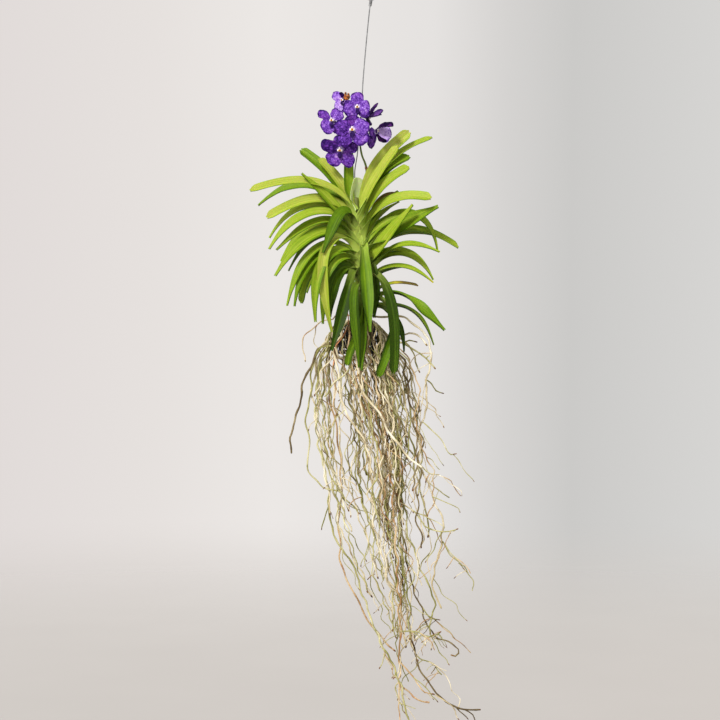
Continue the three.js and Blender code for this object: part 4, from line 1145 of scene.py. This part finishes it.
def strand(points, radius, draw, paint, tip=ROOT_TIP, crook=1.0):
    """A root as it grows: knobbly, never quite straight, and tapering to a rounded tip."""
    path = smooth_path([p * MM for p in points], STRAND_STEP)
    turns = [
        (draw(0.024, 0.09), draw(0, CURVE_TURN), draw(0, CURVE_TURN), draw(0.3, 1)) for _ in range(4)
    ]
    bumps = [(draw(0.01, 0.05), draw(0, CURVE_TURN)) for _ in range(3)]
    radii = []
    run = 0
    last = len(path) - 1
    for i, p in enumerate(path):
        if i:
            run += (p - before).length
        before = p.copy()
        t = i / last
        free = min(1, run / WANDER_START, (last - i) / 3 + 0.3)
        for wave, a, b, share in turns:
            push = crook * WANDER * wave * share * free
            p.x += push * math.sin(a + run / wave * CURVE_TURN)
            p.y += push * math.sin(b + run / wave * CURVE_TURN)
        kept_in(p)
        knob = 1 + KNOB * sum(math.sin(b + run / w * CURVE_TURN) for w, b in bumps)
        radii.append(radius * MM * lerp(1, tip, t) * knob)
    neck = path[-2].lerp(path[-1], 0.35)
    end = radii[-1]
    shown = TIP if draw(0, 1) < TIPPED else paint
    cap = [neck, neck.lerp(path[-1], 0.35), neck.lerp(path[-1], 0.8), path[-1]]
    cap_radii = [end, end * 1.14, end * 1.02, end * 0.5]
    return [([*path[:-1], neck], [*radii[:-1], end], paint), (cap, cap_radii, shown)]


ROOT_TONES = {
    "left_brown": BROWN, "far_left_thin": TAN, "young_front": YOUNG, "far_left_twig": CREAM,
    "left_cream": CREAM, "front_white": CREAM, "left_second": TAN,
    "right_pale": CREAM, "right_upper": CREAM, "right_fringe_a": CREAM, "right_fringe_b": CREAM,
    "right_fringe_c": TAN, "lower_dark": BROWN, "lower_dark_a": BROWN, "lower_dark_b": BROWN,
    "hooked": BROWN, "lower_long": TAN, "lower_loop": TAN, "lower_mid": TAN,
}
TONE_MIX = [CREAM, SILVER, TAN, BROWN, CREAM, SILVER, CREAM, TAN, SILVER, CREAM, SILVER]


def tone_of(random):
    return TONE_MIX[int(random() * len(TONE_MIX))]


def laterals(random, parents, count, top):
    """Side branches from the falling part of other roots: short, thin and twisting."""
    draw = spread(random)
    made = []
    hosts = [path for path, _ in parents if path[-1].z < top - 70]
    while len(made) < count:
        host = hosts[int(random() * len(hosts))]
        i = 1 + int(random() * (len(host) - 2))
        start = host[i].lerp(host[i + 1], random())
        if start.z > top:
            continue
        length = draw(*BRANCH_LENGTHS) * (1 if draw(0, 1) < 0.8 else 1.7)
        heading = draw(-0.9, 0.9) + (0 if draw(0, 1) < 0.5 else math.pi)
        fall, fall_end = draw(0.2, 1.2), draw(0.4, 1.5)
        points = [start]
        steps = max(3, round(length / BRANCH_STEP))
        for k in range(steps):
            drop = lerp(fall, fall_end, k / steps)
            heading += draw(-0.45, 0.45)
            level = math.cos(drop)
            x, y = math.cos(heading) * level, 0.6 * math.sin(heading) * level
            points.append(points[-1] + Vector((x, y, -math.sin(drop))) * (length / steps))
        if points[-1].z > BRANCH_FLOOR and inside_box(points):
            made.append((points, draw(*BRANCH_RADII)))
    return made


def kept_right(points):
    """True where a side branch stays within the left outline of the falling roots."""
    edge = [(z, x) for x, z in ROOTS["left_long"][3]]
    return all(p.x > along(edge, p.z) - LEFT_BERTH for p in points)


def inside_box(points):
    """True where a side branch stays clear of the edge of the plant's space."""
    low, high = [[c / MM for c in corner] for corner in cad_box]
    return all(
        low[k] + BRANCH_CLEAR < p[k] < high[k] - BRANCH_CLEAR for p in points for k in range(3)
    )


def tangle(random, count):
    """Roots that coil inside the basket and just over its rim."""
    draw = spread(random)
    cx, cy = BASKET_CENTRE
    made = []
    for _ in range(count):
        x, y = draw(-COIL_START, COIL_START), draw(-COIL_START, COIL_START)
        points = [Vector((cx + x, cy + y, draw(-750, -700)))]
        heading, rise = draw(0, 2 * math.pi), draw(-0.3, 0.3)
        for _ in range(9):
            heading += draw(-0.9, 0.9)
            rise = held(rise + draw(-0.3, 0.3), -0.5, 0.5)
            step = Vector((math.cos(heading), math.sin(heading), rise))
            after = points[-1] + step * COIL_STEP
            if abs(after.x - cx) > COIL_REACH or abs(after.y - cy) > COIL_REACH:
                heading += 2
                after = points[-1] - step * COIL_BACK
            after.x = held(after.x, cx - COIL_REACH, cx + COIL_REACH)
            after.y = held(after.y, cy - COIL_REACH, cy + COIL_REACH)
            after.z = held(after.z, COIL_BOTTOM, COIL_TOP)
            points.append(after)
        made.append((points, draw(1.6, 2.4)))
    return made


def side_roots(random, parents):
    twigs = laterals(random, parents, 130, BRANCH_TOP)
    twigs += laterals(random, parents, 55, LOW_BRANCH_TOP)
    return [(path, radius) for path, radius in twigs if kept_right(path)]


def root_pieces():
    """Every root, as one piece for each kind. The seeds and their order set how the roots lie."""
    named = named_roots()
    draw, tone = spread(seeded(5)), seeded(8)
    main = [
        line
        for name, (path, radius) in named.items()
        for line in strand(path, radius, draw, ROOT_TONES.get(name, SILVER), 0.78, 0.7)
    ]
    thick = curtains(seeded(20), THICK_ROOTS)
    random = seeded(31)
    fine, front = curtains(random, FINE_ROOTS), curtains(random, FRONT_ROOTS)
    side = side_roots(random, [*named.values(), *thick, *fine])
    inside = tangle(random, 46)

    def grown(name, roots, tip=ROOT_TIP, crook=1.0):
        lines = [
            line for path, radius in roots for line in strand(path, radius, draw, tone_of(tone), tip, crook)
        ]
        return rods(name, lines, ROOT_SKINS)

    return [
        rods("roots_named", main, ROOT_SKINS), grown("roots_thick", thick), grown("roots_fine", fine),
        grown("roots_front", front), grown("roots_side", side, 0.8, 1.3), grown("roots_inside", inside),
    ]


def crown():
    """The rounded crown at the foot of the stem, which the roots leave."""
    top = Vector((CROWN["x"], CROWN["y"], CROWN["top"])) * MM
    knots = [top - Vector((0, 0, down * CROWN["height"] * MM)) for down in (0, 0.17, 0.48, 0.8, 1)]
    path = smooth_path(knots, 0.004)
    radii = radii_along(path, lambda s: CROWN["radius"] * (0.75 + 0.25 * math.sin(math.pi * s)))
    return rods("crown", [(path, radii, 0)], [STEM_SKIN], 4)


# ---------------------------------------------------------------- basket and wire
FLOOR_BAR = 76
BAR_EDGE = 0.0011


def basket():
    """Slats laid log-cabin fashion on three across the bottom, every edge a little rounded."""
    half = BASKET_WIDTH / 2
    cx, cy = BASKET_CENTRE
    bars = []

    def bar(lx, ly, x, y, z):
        deselect()
        bpy.ops.mesh.primitive_cube_add(size=1, location=Vector((cx + x, cy + y, z)) * MM)
        slat = bpy.context.object
        slat.scale = Vector((lx, ly, BAR + 0.2)) * MM
        only(slat)
        bpy.ops.object.transform_apply(location=True, scale=True)
        apply_modifier(slat, "BEVEL", width=BAR_EDGE, segments=3)
        bars.append(slat)

    for level in range(BAR_LEVELS):
        z = BASKET_FLOOR + BAR * (level + 0.5)
        for side in (-1, 1):
            off = side * (half - BAR / 2 - 1)
            if level % 2:
                bar(BAR, BASKET_WIDTH, off, 0, z)
            else:
                bar(BASKET_WIDTH, BAR, 0, off, z)
    for y in (-FLOOR_BAR_GAP, 0, FLOOR_BAR_GAP):
        bar(FLOOR_BAR, BAR, 0, y, BASKET_FLOOR + BAR / 2)
    return dress(smooth(join(bars, "basket_slats")), BASKET_BLACK)


# x, y, z down the hanger's straight part, from the foot of its eye
SHANK = [
    (0, 0, -17), (-2.6, 0.5, -34), (-6, 6, -65), (-10.5, 11, -111), (-16.8, 18, -185), (-20, 22, -245),
    (-25, 24, -300), (-29, 25, -340), (-34, 25.5, -372), (-33.4, 25.5, -400), (-30, 25.5, -450),
    (-26, 25.5, -520), (-23, 25.5, -600), (-22, 24.4, -680), (-22, 23.8, -722),
]
EYE_RADIUS = 8
WOUND_TOP, WOUND_PITCH, WOUND_REACH = -19, 0.17, 2.35


def hook_path():
    """Down to the basket's floor, round under its middle bar, and up behind."""
    near, far = HOOK_BAR - HOOK_REACH, HOOK_BAR + HOOK_REACH
    turn = BASKET_FLOOR - 1
    under = turn - HOOK_REACH
    shoulder = lerp(turn, under, 0.85)
    bend = [
        (near, turn + 46), (near, turn + 24), (near, turn), (lerp(near, HOOK_BAR, 0.4), shoulder),
        (HOOK_BAR, under), (lerp(far, HOOK_BAR, 0.4), shoulder), (far, turn), (far, turn + 9),
    ]
    return smooth_path([Vector((HOOK_X, y, z)) * MM for y, z in bend], 0.0015)


def winding():
    """The end of the eye, wound round the top of the wire."""
    (_, _, top), (foot_x, foot_y, foot) = SHANK[:2]
    wound = []
    for k in range(60):
        z = WOUND_TOP - k * WOUND_PITCH
        t = (z - top) / (foot - top)
        middle = Vector((lerp(0, foot_x, t), lerp(0, foot_y, t), z))
        angle = k * 0.42
        wound.append((middle + Vector((math.cos(angle), math.sin(angle), 0)) * WOUND_REACH) * MM)
    return wound


def wire():
    """A closed eye, its end wound round the wire, and a hook under the basket."""
    shank = smooth_path([Vector(p) * MM for p in SHANK], 0.006)
    thick = WIRE_RADIUS * MM
    routes = [(shank, 1), (hook_path(), 1), (winding(), 0.98)]
    lines = [(path, [thick * share] * len(path), 0) for path, share in routes]
    rod = rods("wire_rod", lines, [WIRE_METAL], 3)
    deselect()
    bpy.ops.mesh.primitive_torus_add(
        major_radius=(EYE_RADIUS + WIRE_RADIUS) * MM, minor_radius=thick, major_segments=48,
        minor_segments=12, location=(0, 0, -EYE_RADIUS * MM), rotation=(math.pi / 2, 0, 0),
    )
    eye = only(bpy.context.object)
    bpy.ops.object.transform_apply(location=True, rotation=True)
    dress(eye, WIRE_METAL)
    return smooth(join([rod, eye], "hanger_wire"), 60)


# ---------------------------------------------------------------- flowers
# The petals of each bloom: angle from the top, length, width, lean forward, curl along the length,
# raised in front of the others, turned about its own length, and how pale it is painted: partly its own
# violet, partly painted light and shade for where it stands
TOP = [
    (6, 31, 27, 4, -14, 0, 0, 0.56), (128, 27, 22, 2, -12, 0, 0, 0.5), (-152, 18, 19, 2, -12, 0, 0, 0.5),
    (96, 25, 32, 8, -20, 1.9, 0, 0.64), (-95, 25, 36, 8, -20, 1.9, 0, 0.5),
]
MIDDLE = [
    (4, 30, 36, 0, -12, 0, 0, 0.2), (128, 38, 35, 2, -12, 0, 0, 0.5), (-138, 38, 31, 2, -12, 0, 0, 0.42),
    (70, 34, 35, 8, -22, 1.9, 0, 0.6), (-76, 35, 33, 8, -22, 1.9, 0, 0.35),
]
SIDE = [
    (14, 24, 19, 4, -12, 0, 0, 0.5), (152, 26, 22, 2, -12, 0, 0, 0.15), (-136, 28, 35, 2, -12, 1.9, 0, 0.56),
    (58, 24, 21, 8, -18, 1.9, 0, 0.62), (-58, 37, 17, 8, -18, 1.9, 0, 0.36),
]
LOW = [
    (0, 30, 29, 4, -14, 0, 0, 0.3), (143, 39, 30, 2, -12, 0, 0, 0.46), (-140, 35, 35, 2, -12, 0, 0, 0.52),
    (78, 36, 22, 8, -22, 1.9, 0, 0.42), (-71, 42, 26, 8, -22, 1.9, 0, 0.2),
]
OPENING = [
    (0, 18, 9, 40, 10, 0, 0, 0.1), (120, 19, 15, 30, 0, 0, 0, 0.6), (-170, 27, 13, 2, -12, 0, 0, 0.5),
    (-136, 24, 28, 4, -12, 1.9, 0, 0.84), (-60, 36, 19, 2, -16, 1.9, 0, 0.72),
]
SWEPT = [
    (0, 37, 15, 26, 8, 0, 38, 0.3), (128, 18, 12, 34, 0, 0, 0, 0.15), (-128, 14, 12, 34, 0, 0, 0, 0.15),
    (34, 30, 9, 56, 8, 1.9, 0, 0.5), (-34, 38, 15, 54, 8, 1.9, 30, 0.66),
]
CUPPED = [
    (0, 43, 21, 54, 64, 0, 38, 0.05), (-112, 24, 24, -4, 0, 0, 0, 0.45), (-152, 39, 27, -8, 0, 0, 0, 0.4),
    (112, 30, 37, 42, 8, 1.9, 0, 1.0), (-172, 35, 13, 14, 82, 1.9, -50, 0.05),
]
# name, x, y, z, turn to the right, tilt up, spin clockwise, size of its column and lip, petals
BLOOMS = [
    ("top", -29.4, -20, -245.5, 4, 10, -4, 0.8, TOP),
    ("middle", -39.5, -46, -296, 0, 8, 0, 0.95, MIDDLE),
    ("left", -80, -24, -273, -22, 4, 0, 0.84, SIDE),
    ("low", -64, -24, -334.5, -10, -6, 2, 0.95, LOW),
    ("upper_left", -58, 25, -224, -38, 8, 0, 0.6, OPENING),
    ("right", -8, 11, -263.5, 80, -10, 0, 0.5, SWEPT),
    ("lower_right", 11, -8, -293, 60, 0, 0, 0.5, CUPPED),
]
HUB_TOP = 3.3
HUB_PROFILE = [(-3.5, 1.6), (-1.8, 4.2), (0.4, 4.6), (3, 3)]
TEPAL_START = 3
TEPAL_STEPS = 24
TEPAL_LANES = 12
TEPAL_THICKNESS = 0.0009
TEPAL_RUFFLE = 0.0055


def tepal_width(s):
    claw = 0.42 + 0.6 * ease(s / 0.42)
    if s < 0.6:
        return claw
    return claw * math.sqrt(max(0.02, 1 - ((s - 0.6) / 0.4) ** 2.3))


def tepal_blank():
    """A petal laid out flat: a narrow claw, a round blade, its middle raised along a soft rib."""
    blank = grid("tepal_blank", TEPAL_STEPS, TEPAL_LANES)
    raise_lanes(blank, TEPAL_LANES, lambda y: -0.2 * y * y - 0.02 * math.exp(-((y / 0.05) ** 2)))
    shape_rows(blank, TEPAL_STEPS, lambda s: (tepal_width(s), tepal_width(s)))
    return dress(blank, PETAL_FACE, PETAL_BACK)


def bloom_matrix(row):
    """Turns bloom measures (right, up, forward) in metres into the plant's own."""
    _, x, y, z, turn, tilt, spin = row[:7]
    a, b, c = math.radians(turn), math.radians(tilt), math.radians(spin)
    forward = Vector((math.sin(a) * math.cos(b), -math.cos(a) * math.cos(b), math.sin(b)))
    upright = (Vector((0, 0, 1)) - forward * math.sin(b)).normalized()
    level = upright.cross(forward)
    up = upright * math.cos(c) + level * math.sin(c)
    right = level * math.cos(c) - upright * math.sin(c)
    return Matrix.Translation(Vector((x, y, z)) * MM) @ axes(right, up, forward)


def tepal(blank, matrix, shape, name):
    angle, length, width, lean, curl, raised, roll, tone = shape
    piece = cut_from(blank, name, length, width)
    point = Vector((0, 0, 0))
    points = []
    steps = TEPAL_STEPS * 2
    for step in range(steps + 1):
        points.append(point.copy())
        point += climb(lean + curl * (step / steps), length * MM / steps)
    bend_along(piece, points, [math.radians(roll)] * len(points))
    a = math.radians(angle)
    outward, forward = Vector((math.sin(a), math.cos(a), 0)), Vector((0, 0, 1))
    start = Matrix.Translation(outward * TEPAL_START * MM + Vector((0, 0, raised * MM)))
    place(piece, matrix @ start @ axes(outward, forward.cross(outward), forward))
    displace(piece, RUFFLE, TEPAL_RUFFLE, direction="RGB_TO_XYZ")
    apply_modifier(
        piece, "SOLIDIFY", thickness=TEPAL_THICKNESS, offset=0, material_offset=1, material_offset_rim=1
    )
    # A petal's tone is partly its own violet and partly painted light and shade for where it stands.
    note(piece, "tone", tone)
    return smooth(piece, 60)


def hub(matrix, name):
    """The foot behind the petals, where the flower stalk joins."""
    path = smooth_path([matrix @ Vector((0, 0, n * MM)) for n, _ in HUB_PROFILE], 0.0008)
    profile = [(-n, r) for n, r in HUB_PROFILE]
    back, front = HUB_PROFILE[0][0], HUB_PROFILE[-1][0]
    radii = radii_along(path, lambda s: along(profile, -lerp(back, front, s)))
    piece = rods(name, [(path, radii, 0)], [PETAL_BACK], 3)
    note(piece, "tone", 0.5)
    return piece


# the body, cap, two ears and throat of a column: place, half sizes and turn
COLUMN_BALLS = [
    ((0, 2.0, 4.0), (2.5, 3.4, 4.4), 0), ((0, 3.6, 7.2), (1.9, 2.0, 1.9), 0),
    ((-3.7, -0.9, 3.6), (2.4, 2.8, 1.5), -24), ((3.7, -0.9, 3.6), (2.4, 2.8, 1.5), 24),
    ((0, -1.6, 2.6), (2.6, 2.2, 1.9), 0),
]
THROAT, THROAT_SPREAD = (0, -1.2, 5.6), 3.4


def column_blank():
    """Column with its rounded cap, and the two ears that stand beside the throat."""
    piece = join([ball(at, size, 20, 12, turn) for at, size, turn in COLUMN_BALLS], "column_blank")
    only(piece)
    bpy.ops.object.shade_smooth()
    throat = Vector(THROAT) * MM
    far = [(vertex.co - throat).length / MM / THROAT_SPREAD for vertex in piece.data.vertices]
    layer = piece.data.attributes.new("throat", "FLOAT", "POINT")
    layer.data.foreach_set("value", [math.exp(-(f**2)) for f in far])
    return dress(piece, COLUMN_WAX)


# distance down from the bloom's axis, height in front of the hub and half width, for the lip
LIP = [
    (3.1, 1.25, 2.4), (6, 4, 3.4), (9, 5.2, 4.4), (13, 4.6, 4.8), (16.5, 2.6, 3.4), (18.5, 1.3, 1.6),
]
LIP_STEPS, LIP_LANES = 20, 12
LIP_THICKNESS = 0.0011
PARKED = 1.0  # metres that the shaped rows stand back by, clear of those still to come


def lip_height(y):
    """Three keels along the tongue, on a section that falls to its sides."""
    return 0.09 * abs(math.cos(y * 3 * math.pi * 2)) - 0.5 * y * y


def lip_blank():
    """A tongue that stands forward and turns down, with three raised keels along it."""
    blank = grid("lip_blank", LIP_STEPS, LIP_LANES)
    raise_lanes(blank, LIP_LANES, lip_height)
    for row in range(LIP_STEPS + 1):
        t = row / LIP_STEPS
        spot = t * (len(LIP) - 1)
        i = min(int(spot), len(LIP) - 2)
        down, height, half = [lerp(a, b, spot - i) * MM for a, b in zip(LIP[i], LIP[i + 1])]
        select_where(blank, lambda co: abs(co.x - t) < IN_ROW / LIP_STEPS)
        bpy.ops.transform.resize(value=(1, half * 2, half * 2), center_override=(t, 0, 0))
        bpy.ops.transform.translate(value=(down - t - PARKED, 0, height))
        object_mode()
    place(blank, Matrix.Translation((PARKED, 0, 0)))
    return dress(blank, LIP_VELVET)


def bloom(row, blanks):
    name, heart, shapes = row[0], *row[7:]
    matrix = bloom_matrix(row)
    tepals = [tepal(blanks["tepal"], matrix, shape, f"{name}_tepal_{k}") for k, shape in enumerate(shapes)]
    petals = join([*tepals, hub(matrix, f"{name}_foot")], f"petals_{name}")
    face = matrix @ Matrix.Translation((0, 0, HUB_TOP * MM)) @ Matrix.Diagonal((heart, heart, heart, 1))
    column = copy_of(blanks["column"], f"heart_{name}")
    place(column, face)
    tongue = copy_of(blanks["lip"], f"tongue_{name}")
    place(tongue, face @ axes(Vector((0, -1, 0)), Vector((1, 0, 0)), Vector((0, 0, 1))))
    apply_modifier(tongue, "SOLIDIFY", thickness=LIP_THICKNESS * heart, offset=0)
    return petals, column, smooth(tongue, 60)


# ---------------------------------------------------------------- flower spike
# x, y, z along the spike, from the stem to its tip
SPIKE = [
    (-24, 5, -505), (-17, 14, -455), (-11, 17, -410), (-10, 13, -368), (-19, 7, -342), (-23, 4, -319),
    (-25, 3, -290), (-31, 2, -262), (-42, 0, -244), (-50, -2, -234),
]
SPIKE_RADII = (2.8, 1.5)
STALK_RADII = (1.2, 1.45)
BRACT_AT = 3
BRACT_SIZE = (3.4, 3.4, 5)
BRACT_CREASE, BUD_CREASE = 0.0012, 0.0018
# the knot of the spike that each stalk leaves, and a point that it passes
STALKS = {
    "top": (7,), "middle": (6,), "left": (6,), "low": (5,), "upper_left": (7, (-35, 26, -252)),
    "right": (6,), "lower_right": (5,),
}
STALK_BEHIND = 14
STALK_END = 3.8


def stalk(row, knots):
    """From its knot on the spike, round behind a bloom, and into the foot of it."""
    matrix = bloom_matrix(row)
    end = matrix @ Vector((0, 0, -STALK_END * MM))
    bend = matrix @ Vector((0, 0, -STALK_BEHIND * MM))
    at, *via = STALKS[row[0]]
    middle = Vector(via[0]) * MM if via else bend.lerp(knots[at], 0.35)
    path = smooth_path([knots[at], middle, bend, end], 0.003)
    return path, radii_along(path, lambda s: lerp(*STALK_RADII, s**2)), 1


def flower_spike():
    knots = [Vector(p) * MM for p in SPIKE]
    axis = smooth_path(knots, 0.004)
    last = len(axis) - 1
    swells = [1 + 0.05 * math.sin(i * 0.9) for i in range(last + 1)]
    radii = [lerp(*SPIKE_RADII, i / last) * MM * swell for i, swell in enumerate(swells)]
    lines = [(axis, radii, 0), *[stalk(row, knots) for row in BLOOMS]]
    return rods("spike_and_stalks", lines, [SPIKE_SKIN, PEDICEL_SKIN], 3)


def bract():
    """The dried bract that sheaths the bend of the spike."""
    piece = ball(SPIKE[BRACT_AT], BRACT_SIZE, 24, 16)
    piece.name = "bract"
    displace(piece, CREASE, BRACT_CREASE, 0.8)
    return dress(smooth(piece, 60), BRACT_SKIN)


# x, y, z from the tip of the spike, half width and half height
DRIED_SHAPES = [
    (-0.8, 0, 4, 2.8, 6.4), (-4, 0, 12, 4, 5.4), (2.2, -1, 13.5, 4.4, 5.6), (-3.4, 0, 19.5, 3, 4.8),
    (2.6, 0, 18.5, 2.8, 3.8), (-0.4, -2.5, 8.5, 4, 5.2),
]


def dried_buds():
    """Shrivelled buds crowded at the tip of the spike."""
    tip = Vector(SPIKE[-1])
    buds = [ball(tip + Vector((x, y, z)), (r, r, h), 28, 18) for x, y, z, r, h in DRIED_SHAPES]
    for bud in buds:
        displace(bud, CREASE, BUD_CREASE, 0.7)
        smooth(bud, 60)
    return dress(join(buds, "dried_up_buds"), DRIED_BUD)


# ---------------------------------------------------------------- camera, light and floor
LENS = 85.7
CAMERA_PLACE = (-0.0231, -3.6, -0.7728)
SUN_PLACE = (-1.7, -3.2, 2.7)
SUN_POWER, SUN_WIDTH = 3.4, 14
SUN_TINT = (1, 0.985, 0.96)
SKY_REACH = 0.21
SKY = shades(
    (0.0, 225, 219, 217), (0.22, 230, 225, 222), (0.38, 236, 232, 229), (0.6, 229, 226, 224),
    (0.7, 213, 211, 209), (0.79, 203, 202, 200), (1.0, 214, 213, 211),
)
FLOOR_HEIGHT, FLOOR_SIZE = -2.2, 60
FLOOR_FADE = (3.2, 12)


def camera():
    data = bpy.data.cameras.new("camera")
    data.lens = LENS
    data.sensor_width = 36
    data.clip_end = 100
    eye = bpy.data.objects.new("camera", data)
    eye.location = CAMERA_PLACE
    eye.rotation_euler = (math.pi / 2, 0, 0)
    bpy.context.collection.objects.link(eye)
    bpy.context.scene.camera = eye


def sky():
    """A pale surround, a little darker toward the right."""
    world = bpy.data.worlds.new("studio")
    world.use_nodes = True
    bpy.context.scene.world = world
    tree = world.node_tree
    background = next(n for n in tree.nodes if n.type == "BACKGROUND")
    background.inputs["Strength"].default_value = 1.0
    kinds = ("TexCoord", "SeparateXYZ", "MapRange", "ValToRGB")
    spot, split, across, ramp = [tree.nodes.new(f"ShaderNode{kind}") for kind in kinds]
    across.inputs["From Min"].default_value = -SKY_REACH
    across.inputs["From Max"].default_value = SKY_REACH
    Paint.set_stops(ramp.color_ramp, SKY)
    tree.links.new(spot.outputs["Generated"], split.inputs[0])
    tree.links.new(split.outputs[0], across.inputs["Value"])
    tree.links.new(across.outputs[0], ramp.inputs[0])
    tree.links.new(ramp.outputs[0], background.inputs["Color"])


def sun():
    """One broad, faintly warm sun, high at the front and left."""
    data = bpy.data.lights.new("key", "SUN")
    data.energy = SUN_POWER
    data.color = SUN_TINT
    data.angle = math.radians(SUN_WIDTH)
    light = bpy.data.objects.new("key", data)
    light.location = SUN_PLACE
    light.rotation_euler = (-Vector(SUN_PLACE)).to_track_quat("-Z", "Y").to_euler()
    bpy.context.collection.objects.link(light)


def floor():
    """A pale floor that fades into the surround far from the plant."""
    deselect()
    bpy.ops.mesh.primitive_plane_add(size=FLOOR_SIZE, location=(0, 0, FLOOR_HEIGHT))
    ground = bpy.context.object
    ground.name = "studio_floor"
    paint = Paint("floor_paint", specular_ior_level=0.1)
    spot = paint.place()
    cloud = paint.noise(spot, 1.5, 2)
    far = paint.node("ShaderNodeVectorMath", {"operation": "LENGTH"}, {0: spot}, output="Value")
    shade = paint.mix(cloud, colour(180, 177, 174), colour(184, 181, 178))
    paint.feed(base_color=shade, roughness=0.9 + (cloud - 0.5) * 0.1, alpha=1 - far.step(*FLOOR_FADE))
    dress(ground, paint.material)


# ---------------------------------------------------------------- the whole plant
camera()
WAVER = soft_texture("waver", 0.055)
RUFFLE = soft_texture("ruffle", 0.014)
CREASE = soft_texture("crease", 0.0025)


def settle(piece, slot, *nodes):
    """A finished piece rides on the plant's body and stands for its solids."""
    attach(piece, "root")
    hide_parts(*nodes)


settle(leaves(), "leaf", "leafy_stem")
settle(stem(), "leaf", "leafy_stem")
settle(crown(), "root", "roots")
for part in root_pieces():
    settle(part, "root", "roots")
settle(basket(), "basket", "basket")
settle(wire(), "wire", "wire_hanger")
BLANKS = {"tepal": tepal_blank(), "column": column_blank(), "lip": lip_blank()}
for bloom_row in BLOOMS:
    petals, column, tongue = bloom(bloom_row, BLANKS)
    settle(petals, "petal", f"bloom_{bloom_row[0]}_petals")
    settle(column, "column", f"bloom_{bloom_row[0]}_column")
    settle(tongue, "lip", f"bloom_{bloom_row[0]}_lip")
for spare in BLANKS.values():
    remove(spare)
settle(flower_spike(), "flower_stalk", "flower_spike")
settle(bract(), "flower_stalk", "flower_spike")
settle(dried_buds(), "dried_bud", "dried_buds")

sky()
sun()
floor()
bpy.context.scene.view_settings.view_transform = "Standard"
